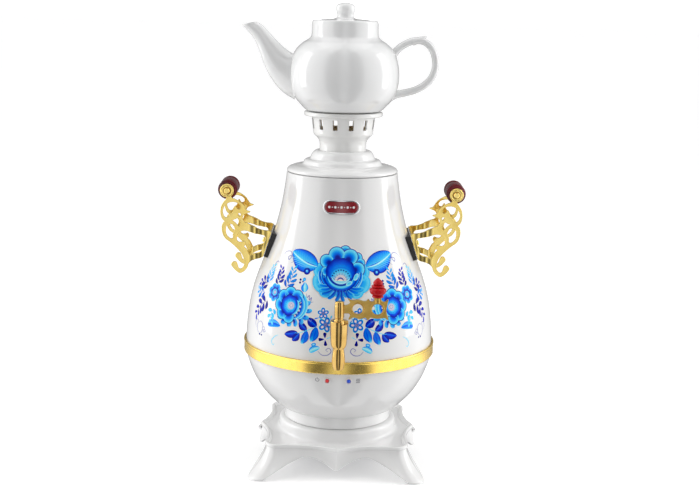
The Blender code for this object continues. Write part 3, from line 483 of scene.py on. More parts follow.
bowl_out = spline([(106.9, 130.9), (106.6, 126.0), (105.7, 120.5), (104.0, 115.2), (101.6, 108.6),
                   (98.4, 101.2), (94.4, 93.8), (89.6, 86.2), (83.4, 78.7), (76.2, 71.2),
                   (69.8, 65.8), (66.6, 64.0), (64.6, 63.5)], 1.5)
bowl_in = spline([(64.6, 65.4), (68.0, 67.2), (74.6, 73.0), (82.0, 80.8), (88.2, 88.4), (93.2, 96.0),
                  (97.2, 103.6), (100.4, 111.0), (103.0, 119.0), (104.9, 130.9)], 4.0)
bowl = lathe("bowl_enamelled", np.vstack([bowl_out, [(60.0, 63.4), (57.2, 63.5), (57.2, 65.2)], bowl_in]),
      ENAMEL, "samovar", n=224, replaces=("lower_bowl",), slot="white_enamel", sharp=50.0)
# opening for the mains inlet and the switch at the back
hole_v = np.array([(x, y, z) for x in (-28.7, 28.7) for y in (70.0, 112.0) for z in (83.8, 108.2)])
hole_f = [(0, 1, 3, 2), (4, 6, 7, 5), (0, 4, 5, 1), (2, 3, 7, 6), (0, 2, 6, 4), (1, 5, 7, 3)]
mesh = bpy.data.meshes.new("hole")
mesh.from_pydata((hole_v * MM + np.array([0, AY, 0])).tolist(), [], hole_f)
work = bmesh.new(); work.from_mesh(mesh); bmesh.ops.recalc_face_normals(work, faces=work.faces)
work.to_mesh(mesh); work.free()
hole = bpy.data.objects.new("hole", mesh)
bpy.context.scene.collection.objects.link(hole)
mod = bowl.modifiers.new("cut", "BOOLEAN"); mod.solver = "EXACT"; mod.object = hole
bpy.context.view_layer.update()
cut = bpy.data.meshes.new_from_object(bowl.evaluated_get(bpy.context.evaluated_depsgraph_get()))
bowl.modifiers.clear(); bowl.data = cut
bpy.data.objects.remove(hole, do_unlink=True)
cut.shade_smooth(); cut.set_sharp_from_angle(angle=math.radians(50.0))
cut.materials.clear(); cut.materials.append(ENAMEL)

band = chain([(107.9, 128.4), (109.1, 128.4)], [(109.1, 128.4), (109.6, 128.6), (109.85, 129.1)],
             [(109.85, 129.1), (109.75, 134.0), (109.75, 139.2)],
             [(109.75, 139.2), (110.1, 139.9), (110.25, 140.6), (110.0, 141.3), (109.4, 141.6)],
             [(109.4, 141.6), (107.9, 141.6)], step=0.4)
lathe("band_gilded", band, GOLD_BAND, "samovar", n=256, replaces=("gold_band",), slot="gold_band")

# ------------------------------------------------------------------ foot
collar = chain([(57.4, 49.6), (61.0, 49.6)], [(61.0, 49.6), (61.6, 49.9), (61.8, 50.6)],
               [(61.8, 50.6), (61.8, 56.0), (61.8, 62.4)], [(61.8, 62.4), (61.5, 62.9), (60.8, 63.1)],
               [(60.8, 63.1), (57.4, 63.1)], step=0.5)
lathe("collar_enamelled", collar, BASE_ENAMEL, "samovar", n=192, replaces=("base_collar",),
      slot="white_base_enamel")

side_pts = spline([(0.0, 90.0, 11.8), (2.2, 89.1, 12.2), (5.0, 88.0, 13.6), (13.0, 85.0, 18.4),
                   (24.0, 82.0, 22.6), (36.0, 80.1, 23.6), (47.0, 79.5, 17.6), (57.0, 79.9, 7.6),
                   (62.0, 80.3, 3.4), (66.0, 80.5, 2.6)], 1.3)
outline = []
for x, f, low in [(-x, f, low) for x, f, low in side_pts[:0:-1]] + [tuple(q) for q in side_pts]:
    w = max(0.0, min(1.0, (abs(x) - 38.0) / 26.0))
    w = w * w * (3.0 - 2.0 * w)
    outline.append(((x, -f), (0.0, -1.0), (16.5 * w * (1 if x > 0 else -1), -16.5 * w - 1.5 * (1 - w)),
                    low, w))
for k in range(1, 14):
    a = math.radians(-90.0 + 90.0 * k / 14.0)
    n = (math.cos(a), math.sin(a))
    outline.append(((66.0 + 14.5 * n[0], -66.0 + 14.5 * n[1]), n, (16.5, -16.5), 2.6, 1.0))
quarter = list(outline)
for turn in (1, 2, 3):
    c, s = round(math.cos(turn * math.pi / 2)), round(math.sin(turn * math.pi / 2))
    for p, n, d, low, w in quarter:
        outline.append(((p[0] * c - p[1] * s, p[0] * s + p[1] * c), (n[0] * c - n[1] * s, n[0] * s + n[1] * c),
                        (d[0] * c - d[1] * s, d[0] * s + d[1] * c), low, w))
OP = np.array([o[0] for o in outline])
ON = np.array([o[1] for o in outline])
OD = np.array([o[2] for o in outline])
OL = np.array([o[3] for o in outline])
OW = np.array([o[4] for o in outline])
# normals to the outline from the tangent across each point's neighbours (nothing below uses them), and each point's
# angle
tangent = np.roll(OP, -1, 0) - np.roll(OP, 1, 0)
tangent /= np.linalg.norm(tangent, axis=1)[:, None]
TN = np.stack([tangent[:, 1], -tangent[:, 0]], -1)
OA = np.arctan2(OP[:, 1], OP[:, 0])


def circle_ring(r, z):
    return np.column_stack([r * np.cos(OA), r * np.sin(OA), np.full(len(OA), z)])


def edge_ring(inset, z):
    q = OP - ON * inset
    return np.column_stack([q, np.full(len(q), z)])


def skirt_ring(t, inset, deep=0.0, lift=0.0):
    push = t ** 1.7
    q = OP + OD * (push * (1.0 + 0.17 * OW * t))[:, None] - ON * (inset + deep * OW)[:, None]
    return np.column_stack([q, 33.0 + (OL - lift * OW - 33.0) * t])


rings = [circle_ring(57.2, 49.2)]
rings += [circle_ring(r, z) for r, z in chain([(57.2, 49.2), (63.2, 49.2)],
                                             [(63.2, 49.2), (65.4, 48.8), (67.0, 47.8), (67.9, 46.2)],
                                             [(67.9, 46.2), (68.1, 42.6), (68.1, 39.2)],
                                             [(68.1, 39.2), (68.4, 37.4), (69.4, 35.8), (71.0, 34.9), (72.6, 34.5)],
                                             [(72.6, 34.5), (75.4, 34.4)], step=0.8)[1:]]
rings += [edge_ring(8.6, 34.4), edge_ring(7.0, 34.4)]
rings += [edge_ring(i, z) for i, z in spline([(6.2, 34.2), (5.4, 34.1), (4.7, 34.9), (4.1, 36.0), (3.3, 36.6), (2.2, 36.8),
                                             (1.0, 36.7), (0.2, 36.1), (0.0, 35.2), (0.0, 34.0), (0.3, 33.1),
                                             (1.2, 32.3)], 0.5)]
rings += [skirt_ring(t, i, d, 1.8) for t, i, d in
          ((0.12, 1.5, 0.0), (0.20, 1.3, 0.0), (0.30, 1.0, 0.0), (0.40, 0.75, 0.0), (0.50, 0.5, 0.0),
           (0.60, 0.3, 0.0), (0.70, 0.15, 0.0), (0.78, 0.0, 0.0), (0.86, 0.0, 0.0), (0.93, 0.05, 0.2),
           (0.975, 0.2, 0.6), (1.0, 0.6, 1.2))]
rings += [skirt_ring(1.0, 3.4, 5.0), skirt_ring(0.9, 4.2, 5.0), skirt_ring(0.7, 4.4, 3.6),
          skirt_ring(0.45, 4.4, 2.4), edge_ring(5.0, 31.2), circle_ring(66.0, 31.0), circle_ring(57.2, 31.0)]
count = len(OP)
verts = np.vstack(rings)
faces = []
for i in range(len(rings)):
    a, b = i * count, ((i + 1) % len(rings)) * count
    for k in range(count):
        j = (k + 1) % count
        faces.append((a + k, a + j, b + j, b + k))
make("stand_enamelled", verts, faces, BASE_ENAMEL, "samovar", replaces=("base_stand",),
     slot="white_base_enamel", sharp=34.0)

# ------------------------------------------------------------------ lid and crown
lid = chain([(59.0, 336.5), (62.2, 336.5)],
            [(62.2, 336.5), (62.8, 336.9), (62.9, 337.7), (62.4, 339.0), (61.0, 340.4), (58.6, 341.6),
             (54.5, 342.9), (50.6, 343.5)],
            [(50.6, 343.5), (48.2, 343.8), (46.4, 344.2)],
            [(46.4, 344.2), (45.2, 344.9), (44.4, 346.2), (43.6, 347.9), (42.6, 349.2), (41.0, 350.0),
             (39.0, 350.4), (37.6, 350.6)],
            [(37.6, 350.6), (36.8, 351.4), (36.0, 353.2), (35.0, 355.6), (33.8, 357.6), (32.2, 359.2),
             (30.2, 360.2), (28.2, 360.6)],
            [(28.2, 360.6), (27.2, 360.5), (26.8, 359.9)], [(26.8, 359.9), (26.8, 354.6)],
            [(26.8, 354.6), (32.4, 354.0)], [(32.4, 354.0), (34.6, 350.4), (39.0, 347.8), (42.2, 343.8)],
            [(42.2, 343.8), (48.0, 341.8), (57.4, 339.6)], [(57.4, 339.6), (57.4, 328.3)],
            [(57.4, 328.3), (57.9, 327.9), (58.6, 327.9), (59.0, 328.4)], step=0.6)
lathe("lid_enamelled", lid, LID_ENAMEL, "lid", n=192, replaces=("tank_lid",), slot="white_lid_enamel",
      sharp=38.0)

crown = chain([(24.0, 350.5), (26.2, 350.5)], [(26.2, 350.5), (26.2, 358.0), (26.2, 364.0), (26.25, 367.2)],
              [(26.25, 367.2), (26.7, 369.8), (27.8, 372.6), (29.6, 375.0), (31.6, 376.8), (33.0, 378.2),
               (33.6, 379.8)],
              [(33.6, 379.8), (34.1, 384.0), (34.9, 390.0), (35.6, 396.2)],
              [(35.6, 396.2), (36.0, 397.8), (37.2, 398.7), (39.4, 399.1)], [(39.4, 399.1), (43.2, 399.3)],
              [(43.2, 399.3), (43.9, 399.6), (44.25, 400.3), (44.3, 401.6), (44.2, 402.9), (43.8, 403.6),
               (43.1, 403.9)],
              [(43.1, 403.9), (33.4, 403.9)], [(33.4, 403.9), (32.6, 403.6), (32.2, 402.8)],
              [(32.2, 402.8), (33.0, 396.5), (32.0, 386.0), (31.2, 380.6), (27.6, 376.0), (24.4, 370.8),
               (24.0, 366.0)], [(24.0, 366.0), (24.0, 350.5)], step=0.6)
crown_obj = lathe("crown_enamelled", crown, CROWN_ENAMEL, "lid", n=180, replaces=("teapot_crown", "crown_neck"),
                  slot="white_crown", sharp=42.0)


def cut_windows(obj):
    verts, faces = [], []
    for k in range(12):
        a = math.radians(15.0 + 30.0 * k)
        half, top, low, rr = 2.7, 396.3, 384.9, 0.7
        loop = []
        for cx, cz, a0 in ((half - rr, top - rr, 0.0), (rr - half, top - rr, 90.0),
                           (rr - half, low + rr, 180.0), (half - rr, low + rr, 270.0)):
            loop += [(cx + rr * math.cos(math.radians(a0 + t)), cz + rr * math.sin(math.radians(a0 + t)))
                     for t in (0, 22, 45, 68, 90)]
        first = len(verts)
        for r in (28.0, 40.0):
            for s, z in loop:
                verts.append((r * math.cos(a) - s * math.sin(a), r * math.sin(a) + s * math.cos(a), z))
        m = len(loop)
        faces.append(tuple(first + i for i in range(m)))
        faces.append(tuple(first + m + i for i in reversed(range(m))))
        for i in range(m):
            j = (i + 1) % m
            faces.append((first + i, first + j, first + m + j, first + m + i))
    v = np.array(verts) * MM + np.array([0.0, AY, 0.0])
    mesh = bpy.data.meshes.new("cutter")
    mesh.from_pydata(v.tolist(), [], faces)
    work = bmesh.new()
    work.from_mesh(mesh)
    bmesh.ops.recalc_face_normals(work, faces=work.faces)
    work.to_mesh(mesh)
    work.free()
    cutter = bpy.data.objects.new("cutter", mesh)
    bpy.context.scene.collection.objects.link(cutter)
    mod = obj.modifiers.new("cut", "BOOLEAN")
    mod.solver = "EXACT"
    mod.operation = "DIFFERENCE"
    mod.object = cutter
    bpy.context.view_layer.update()
    result = bpy.data.meshes.new_from_object(obj.evaluated_get(bpy.context.evaluated_depsgraph_get()))
    obj.modifiers.clear()
    obj.data = result
    bpy.data.objects.remove(cutter, do_unlink=True)
    obj.data.shade_smooth()
    obj.data.set_sharp_from_angle(angle=math.radians(42.0))


cut_windows(crown_obj)
crown_obj.data.materials.clear()
crown_obj.data.materials.append(CROWN_ENAMEL)
crown_obj.data.materials.append(CROWN_IN)
for poly in crown_obj.data.polygons:
    c = poly.center
    r = math.hypot(c[0], c[1] - AY) / MM
    z = c[2] / MM
    wall = np.interp(z, [351, 366, 370.8, 376, 380.6, 396.5, 402.5], [24.0, 24.0, 24.4, 27.6, 31.2, 33.0, 32.4])
    poly.material_index = 1 if z < 402.5 and r < wall + 0.35 else 0

# ------------------------------------------------------------------ teapot
pot = chain([(0.0, 405.6), (33.6, 405.6)], [(33.6, 405.6), (34.4, 404.7), (36.0, 404.3), (38.4, 404.4)],
            [(38.4, 404.4), (42.6, 405.7), (48.2, 411.0), (55.0, 419.2), (60.1, 431.2), (61.4, 445.4),
             (59.9, 458.8), (55.3, 471.4), (47.2, 479.9), (40.8, 484.0), (38.0, 486.9), (37.2, 490.6)],
            [(37.2, 490.6), (37.0, 496.0), (37.0, 501.6), (36.8, 503.6), (36.0, 504.8), (35.0, 505.0),
             (34.2, 504.5), (33.9, 503.4)], [(33.9, 503.4), (33.9, 500.4)],
            [(33.9, 500.4), (31.5, 500.1)], [(31.5, 500.1), (31.5, 489.0)],
            [(31.5, 489.0), (35.6, 483.8), (43.6, 477.4), (51.4, 469.2), (55.6, 458.0), (57.1, 445.6),
             (56.1, 432.2), (51.6, 421.0), (45.2, 413.2), (38.0, 408.8), (28.0, 408.0)],
            [(28.0, 408.0), (0.0, 407.8)], step=1.2)
lathe("teapot_pot", pot, GLAZE, "teapot", n=176, replaces=("teapot_body",), slot="white_porcelain", sharp=50.0)

sp = spline([(-48.0, 441.5), (-55.0, 443.8), (-62.0, 447.6), (-70.5, 454.6), (-77.5, 463.0), (-84.0, 472.4),
             (-90.5, 482.4), (-97.5, 491.6), (-106.2, 499.8)], 1.6)
key = np.linspace(0, 1, 9)
tt = np.linspace(0, 1, len(sp))
wp = np.interp(tt, key, [26.5, 23.6, 19.6, 16.2, 13.6, 11.2, 9.0, 8.2, 8.6])
ws = np.interp(tt, key, [21.0, 17.4, 14.2, 12.2, 10.6, 9.2, 7.7, 6.6, 5.9])
smooth = np.ones(9) / 9.0
wp[4:-4] = np.convolve(wp, smooth, "same")[4:-4]
ws[4:-4] = np.convolve(ws, smooth, "same")[4:-4]
path = np.column_stack([sp[:, 0], np.zeros(len(sp)), sp[:, 1]])
# outer skin, rounded lip, then the bore back down
tan = np.array([-0.24, 0.0, 0.97])
lip = [(path[-1] + tan * d, (wp[-1] - s, ws[-1] - s)) for d, s in ((0.5, 0.15), (0.85, 0.6), (0.85, 1.2), (0.4, 1.7))]
back = [(path[i], (wp[i] - 2.2, ws[i] - 2.1)) for i in range(len(path) - 2, len(path) - 22, -3)]
pp = np.vstack([path, [q[0] for q in lip], [q[0] for q in back]])
ss = np.vstack([np.column_stack([wp, ws]), [q[1] for q in lip], [q[1] for q in back]])
fr = np.vstack([path, [path[-1]] * len(lip), [q[0] for q in back]])


def tube_frames(points, sizes, tangents, n, side=(0.0, 1.0, 0.0)):
    tangents = tangents / np.linalg.norm(tangents, axis=1)[:, None]
    up = np.cross(tangents, np.asarray(side, float))
    up /= np.linalg.norm(up, axis=1)[:, None]
    across = np.cross(up, tangents)
    a = TAU * (np.arange(n) + 0.5) / n
    v = (points[:, None] + up[:, None] * (sizes[:, 0:1] * np.cos(a))[..., None]
         + across[:, None] * (sizes[:, 1:2] * np.sin(a))[..., None]).reshape(-1, 3)
    m = len(points)
    faces = [(i * n + k, i * n + (k + 1) % n, (i + 1) * n + (k + 1) % n, (i + 1) * n + k)
             for i in range(m - 1) for k in range(n)]
    faces.append(tuple(range(n - 1, -1, -1)))
    faces.append(tuple(range((m - 1) * n, m * n)))
    return v, faces


tg = np.gradient(path, axis=0)
tg /= np.linalg.norm(tg, axis=1)[:, None]
MOUTH = np.array([-0.24, 0.0, 0.97])                      # the mouth is cut almost level
for k in range(12):
    w = 1.0 - k / 12.0
    w = w * w * (3 - 2 * w)
    tg[-1 - k] = tg[-1 - k] * (1 - w) + MOUTH * w
tgs = np.vstack([tg, [tg[-1]] * len(lip), [tg[i] for i in range(len(path) - 2, len(path) - 22, -3)]])
v, f = tube_frames(pp, ss, tgs, 56)
make("spout_glazed", v, f, GLAZE, "teapot", replaces=("teapot_spout",), slot="white_porcelain", sharp=60.0)

ear = spline([(49.0, 461.5), (55.0, 469.6), (61.0, 475.9), (68.0, 480.8), (76.5, 484.1), (85.0, 483.9),
              (92.6, 479.0), (97.4, 470.6), (99.4, 460.0), (98.3, 450.0), (94.2, 441.4), (87.6, 434.6),
              (78.5, 429.4), (68.0, 426.2), (58.0, 423.9), (48.0, 420.4)], 1.6)
ear[:, 0] = np.where(ear[:, 0] > 62.0, ear[:, 0] + (ear[:, 0] - 62.0) * 0.065, ear[:, 0])
tt = np.linspace(0, 1, len(ear))
flare = np.exp(-tt / 0.035) + np.exp(-(1 - tt) / 0.035)
wi = 3.9 + 4.2 * flare
wo = 5.0 + 0.5 * np.cos(tt * TAU) + 4.0 * flare
v, f = tube(np.column_stack([ear[:, 0], np.zeros(len(ear)), ear[:, 1]]), np.column_stack([wi, wo]), 28,
            superness=2.3)
make("handle_glazed", v, f, GLAZE, "teapot", replaces=("teapot_handle",), slot="white_porcelain", sharp=60.0)
thumb = spline([(75.0, 482.6), (81.0, 484.8), (86.0, 486.6), (89.6, 488.2), (91.6, 489.0)], 0.6)
tt = np.linspace(0, 1, len(thumb))
v, f = tube(np.column_stack([thumb[:, 0], np.zeros(len(thumb)), thumb[:, 1]]),
            np.column_stack([3.6 * (1 - tt ** 1.6) ** 0.8 + 0.5, 5.0 * (1 - tt ** 1.8) ** 0.7 + 0.7]), 20)
make("teapot_thumb_rest", v, f, GLAZE, "teapot", slot="white_porcelain", sharp=60.0)

knob = chain([(31.0, 493.2), (31.0, 500.4)], [(31.0, 500.4), (33.2, 500.7)],
             [(33.2, 500.7), (33.6, 501.1), (33.7, 502.2), (33.1, 503.4), (31.0, 504.5), (26.0, 505.6),
              (19.0, 506.3), (13.0, 506.8), (10.9, 507.6), (9.6, 508.9), (9.3, 510.4), (9.6, 512.2),
              (10.4, 514.6), (11.0, 517.2), (10.8, 519.6), (9.7, 521.6), (7.4, 523.0), (4.2, 523.9),
              (0.0, 524.1)],
             [(0.0, 504.4), (18.0, 503.6), (28.4, 501.6)], [(28.4, 501.6), (29.3, 493.2)], step=0.6)
lathe("teapot_lid_glazed", knob, GLAZE, "pot_lid", n=144, replaces=("teapot_lid",), slot="white_porcelain",
      sharp=45.0)

# ------------------------------------------------------------------ tap
TAP_Y, TAP_Z = -140.0, 181.0
bell = chain([(3.4, 171.0), (3.4, 143.4)], [(3.4, 143.4), (4.6, 143.3), (5.3, 143.6), (5.7, 144.4)],
             [(5.7, 144.4), (6.3, 147.2), (6.8, 150.6), (6.95, 154.0), (6.8, 158.0), (6.3, 162.4), (6.0, 165.2)],
             [(6.0, 165.2), (6.1, 166.2), (6.6, 167.0)],
             [(6.6, 167.0), (7.6, 168.4), (8.3, 170.4), (8.7, 173.6), (9.0, 178.0), (9.25, 184.0),
              (9.4, 190.0), (9.4, 192.2)], [(9.4, 192.2), (9.55, 192.8), (9.55, 195.4)],
             [(9.55, 195.4), (9.4, 196.2), (8.8, 196.5)], [(8.8, 196.5), (6.6, 196.6), (6.1, 196.3)],
             [(6.1, 196.3), (6.1, 171.0)], step=0.5)
tap = lathe("tap_bell", bell, BRASS, "samovar", n=96, place=shift(0, TAP_Y, 0), replaces=("tap_body",),
            slot="polished_brass", sharp=40.0)
box_v = np.array([(x, y, z) for x in (2.6, 12.0) for y in (-152.0, TAP_Y - 0.9) for z in (193.4, 199.0)])
box_f = [(0, 1, 3, 2), (4, 6, 7, 5), (0, 4, 5, 1), (2, 3, 7, 6), (0, 2, 6, 4), (1, 5, 7, 3)]
mesh = bpy.data.meshes.new("notch")
mesh.from_pydata((box_v * MM + np.array([0, AY, 0])).tolist(), [], box_f)
work = bmesh.new(); work.from_mesh(mesh); bmesh.ops.recalc_face_normals(work, faces=work.faces)
work.to_mesh(mesh); work.free()
notch = bpy.data.objects.new("notch", mesh)
bpy.context.scene.collection.objects.link(notch)
mod = tap.modifiers.new("cut", "BOOLEAN"); mod.solver = "EXACT"; mod.object = notch
bpy.context.view_layer.update()
cut = bpy.data.meshes.new_from_object(tap.evaluated_get(bpy.context.evaluated_depsgraph_get()))
tap.modifiers.clear(); tap.data = cut
bpy.data.objects.remove(notch, do_unlink=True)
cut.shade_smooth(); cut.set_sharp_from_angle(angle=math.radians(40.0))
cut.materials.clear(); cut.materials.append(BRASS)
shank = chain([(0.0, -132.0), (6.6, -132.0)], [(6.6, -132.0), (6.5, -126.0), (6.3, -120.0), (6.5, -115.0),
              (7.4, -112.6), (8.4, -111.8)], [(8.4, -111.8), (8.75, -111.4), (8.75, -109.0), (8.5, -108.6)],
              [(8.5, -108.6), (6.2, -108.5)], [(6.2, -108.5), (6.2, -92.0)], [(6.2, -92.0), (0.0, -92.0)], step=0.6)
lathe("tap_shank", shank, BRASS, "samovar", n=64, place=turn_y(0.0, TAP_Z), slot="polished_brass")
plug = chain([(0.0, 171.8), (5.9, 171.8)], [(5.9, 171.8), (5.9, 197.4)], [(5.9, 197.4), (5.4, 198.0), (4.6, 198.2)],
             [(4.6, 198.2), (4.5, 198.8), (4.6, 199.4)], [(4.6, 199.4), (5.1, 199.7), (5.25, 200.4)],
             [(5.25, 200.4), (5.25, 206.0), (5.25, 212.0)], [(5.25, 212.0), (5.1, 212.7), (4.85, 213.1)],
             [(4.85, 213.1), (4.85, 215.3), (4.6, 216.3), (3.9, 217.0), (2.6, 217.4), (0.0, 217.5)], step=0.4)
lathe("tap_stem", plug, BRASS, "tap_key", n=72, place=shift(0, TAP_Y, 0), replaces=("tap_plug",),
      slot="polished_brass", sharp=40.0)
lever_edge = [(9.3, 220.0), (12.0, 218.5), (15.3, 218.2), (18.7, 218.8), (22.2, 218.3), (25.7, 217.4),
              (28.2, 218.0), (29.9, 219.6), (31.4, 218.0), (34.1, 217.2), (36.4, 218.4), (36.5, 220.2),
              (36.4, 221.8), (43.0, 221.8), (43.0, 220.2), (43.6, 218.4), (46.0, 217.1), (48.5, 217.9),
              (50.4, 219.8), (49.9, 216.4), (49.2, 212.8), (48.6, 209.2), (49.2, 204.9), (49.9, 202.0),
              (50.7, 198.8), (47.8, 200.8), (43.9, 200.4), (39.7, 199.8), (35.5, 200.5), (32.4, 200.8),
              (29.9, 198.4), (27.6, 200.8), (24.3, 199.9), (20.5, 199.3), (16.7, 200.4), (13.9, 200.5),
              (10.2, 198.3), (11.4, 201.4), (11.6, 203.4), (10.2, 204.7), (6.0, 204.9), (5.0, 204.9),
              (5.0, 212.8), (6.4, 212.8), (9.3, 213.5), (11.3, 216.0)]
ring_a = [(19.1 + 5.9 * math.cos(t), 209.4 + 5.9 * math.sin(t)) for t in np.linspace(0, TAU, 40, endpoint=False)]
ring_b = [(39.7 + 6.2 * math.cos(t), 209.4 + 6.2 * math.sin(t)) for t in np.linspace(0, TAU, 40, endpoint=False)]
flat_curve("tap_lever_cast", [lever_edge, ring_a, ring_b], 1.6, 0.5, LEVER, "tap_key",
           lambda v: np.column_stack([v[:, 0], TAP_Y - v[:, 2], v[:, 1]]), closed_step=0.5,
           replaces=("tap_lever",), slot="cast_brass_lever", sharp=35.0)
for tag, cx, rr in (("a", 19.1, 5.9), ("b", 39.7, 6.2)):
    bead = [(rr + 0.75 + 0.75 * math.cos(t), 1.6 + 0.75 * math.sin(t)) for t in np.linspace(0, TAU, 10, endpoint=False)]
    for face, s in (("front", -1.0), ("rear", 1.0)):
        m = np.array(((1, 0, 0, cx), (0, 0, s, TAP_Y), (0, -1, 0, 209.4), (0, 0, 0, 1)), float)
        v, f = lathe_mesh(bead, 48)
        make("lever_bead_%s_%s" % (tag, face), v, f, LEVER, "tap_key", place=m, slot="cast_brass_lever")
neck = chain([(0.0, 216.0), (3.4, 216.0)], [(3.4, 216.0), (3.1, 219.4), (3.3, 221.2), (4.4, 221.9)],
             [(4.4, 221.9), (4.4, 222.2), (0.0, 222.2)], step=0.5)
lathe("lever_post", neck, LEVER, "tap_key", n=48, place=shift(39.7, TAP_Y, 0), slot="cast_brass_lever")
finial = chain([(0.0, 222.2), (5.0, 222.2)], [(5.0, 222.2), (5.8, 222.5), (6.0, 223.3), (5.6, 224.2), (5.0, 224.7)],
               [(5.0, 224.7), (6.8, 225.6), (8.3, 227.4), (8.8, 229.4), (8.4, 231.2), (7.0, 232.4), (5.6, 232.9)],
               [(5.6, 232.9), (6.6, 233.3), (6.9, 234.1), (6.5, 234.9), (5.4, 235.3)],
               [(5.4, 235.3), (4.4, 235.6), (4.9, 236.2), (5.2, 237.2), (4.9, 238.3)],
               [(4.9, 238.3), (4.2, 239.6), (3.1, 240.7), (2.1, 241.6), (1.2, 242.6), (0.0, 243.0)],
               step=0.35)
lathe("tap_finial", finial, RED, "tap_key", n=72, place=shift(39.7, TAP_Y, 0), replaces=("tap_knob",),
      slot="red_gloss_knob", sharp=45.0)

# ------------------------------------------------------------------ carrying handles
BOSS_U, BOSS_Z = 128.7, 314.9
plate_edge = [(129.2, 307.9), (129.2, 305.4), (132.0, 302.0), (134.5, 297.5), (135.6, 291.5),
              (135.1, 287.0), (133.6, 283.0), (131.0, 280.0), (133.0, 277.5), (134.0, 273.5),
              (133.6, 269.0), (132.4, 264.5), (129.7, 260.5), (125.5, 257.5), (122.0, 254.6),
              (118.0, 251.0), (114.4, 247.2), (111.3, 243.3), (109.4, 239.2), (108.4, 234.5),
              (108.8, 230.0), (110.9, 226.8), (113.5, 225.5), (115.6, 227.1), (116.6, 230.6),
              (118.2, 233.6), (121.0, 233.8), (123.1, 230.8), (121.3, 227.6), (118.0, 224.0),
              (113.5, 221.5), (109.0, 223.6), (105.6, 228.0), (104.0, 232.5), (101.0, 235.5),
              (96.5, 237.5), (90.0, 239.6), (88.7, 240.6), (79.6, 268.4), (80.4, 269.6),
              (86.0, 270.4), (93.5, 272.2), (99.5, 275.3), (104.5, 277.5), (108.5, 279.0),
              (110.4, 281.0), (111.2, 284.0), (110.5, 287.0), (108.5, 289.0), (105.5, 290.3),
              (102.8, 291.4), (106.2, 292.6), (108.5, 295.3), (110.9, 299.0), (114.5, 302.3),
              (119.0, 304.9), (122.6, 306.2), (124.3, 308.2)]
arc = [(BOSS_U + 7.3 * math.cos(math.radians(a)), BOSS_Z + 7.3 * math.sin(math.radians(a)))
       for a in np.linspace(-126, -432, 30)]
plate_holes = [
    [(133.7, 291.5), (133.2, 288.3), (131.7, 285.3), (129.2, 283.9), (126.7, 285.0), (125.2, 287.6),
     (122.7, 289.7), (121.2, 292.0), (120.6, 294.6), (119.5, 297.4), (118.0, 295.2), (116.4, 293.7),
     (113.7, 294.3), (112.6, 296.5), (113.6, 299.4), (116.6, 301.5), (121.0, 302.6), (125.5, 302.1),
     (129.5, 299.8), (132.4, 296.2)],
    [(116.5, 288.0), (115.6, 289.9), (113.9, 290.1), (112.4, 288.4), (113.3, 286.3), (115.2, 285.7)],
    [(123.2, 281.4), (119.7, 282.8), (117.0, 284.2), (114.9, 283.4), (113.4, 281.0), (113.3, 277.5),
     (114.4, 274.7), (116.0, 274.8), (118.2, 277.3), (120.7, 279.6)],
    [(130.2, 270.5), (129.7, 274.0), (126.7, 277.2), (122.6, 277.2), (120.3, 274.5), (119.3, 271.5),
     (120.3, 268.0), (121.4, 265.4), (121.3, 262.0), (122.6, 260.3), (124.7, 260.4), (127.6, 262.6),
     (129.7, 266.0)],
    [(117.7, 260.6), (117.2, 264.5), (115.6, 267.7), (112.5, 269.5), (107.5, 270.2), (102.5, 268.9),
     (98.0, 267.2), (92.0, 266.2), (86.4, 265.2), (84.6, 262.0), (85.6, 258.0), (87.6, 252.0),
     (89.6, 246.8), (93.4, 244.6), (98.0, 243.2), (102.6, 241.5), (104.6, 244.9), (106.9, 249.0),
     (109.4, 251.5), (108.2, 253.5), (108.0, 256.0), (109.4, 257.6), (112.2, 256.5), (115.0, 256.6),
     (117.1, 258.1)],
]


def arm_wave(v):
    """The arms wander a little in thickness direction between the scrollwork and the strip."""
    u = v[:, 0]
    t = np.clip((104.0 - u) / 22.0, 0.0, 1.0)
    v[:, 2] += 1.1 * np.sin(t * TAU * 0.95) * np.sin(np.pi * np.clip((106.0 - u) / 26.0, 0, 1)) ** 1.6
    return v


flank_n = np.array([1.0, 0.0, 0.332]) / math.hypot(1.0, 0.332)


def strip_u(z):
    return 79.5 + 0.332 * (269.5 - z)


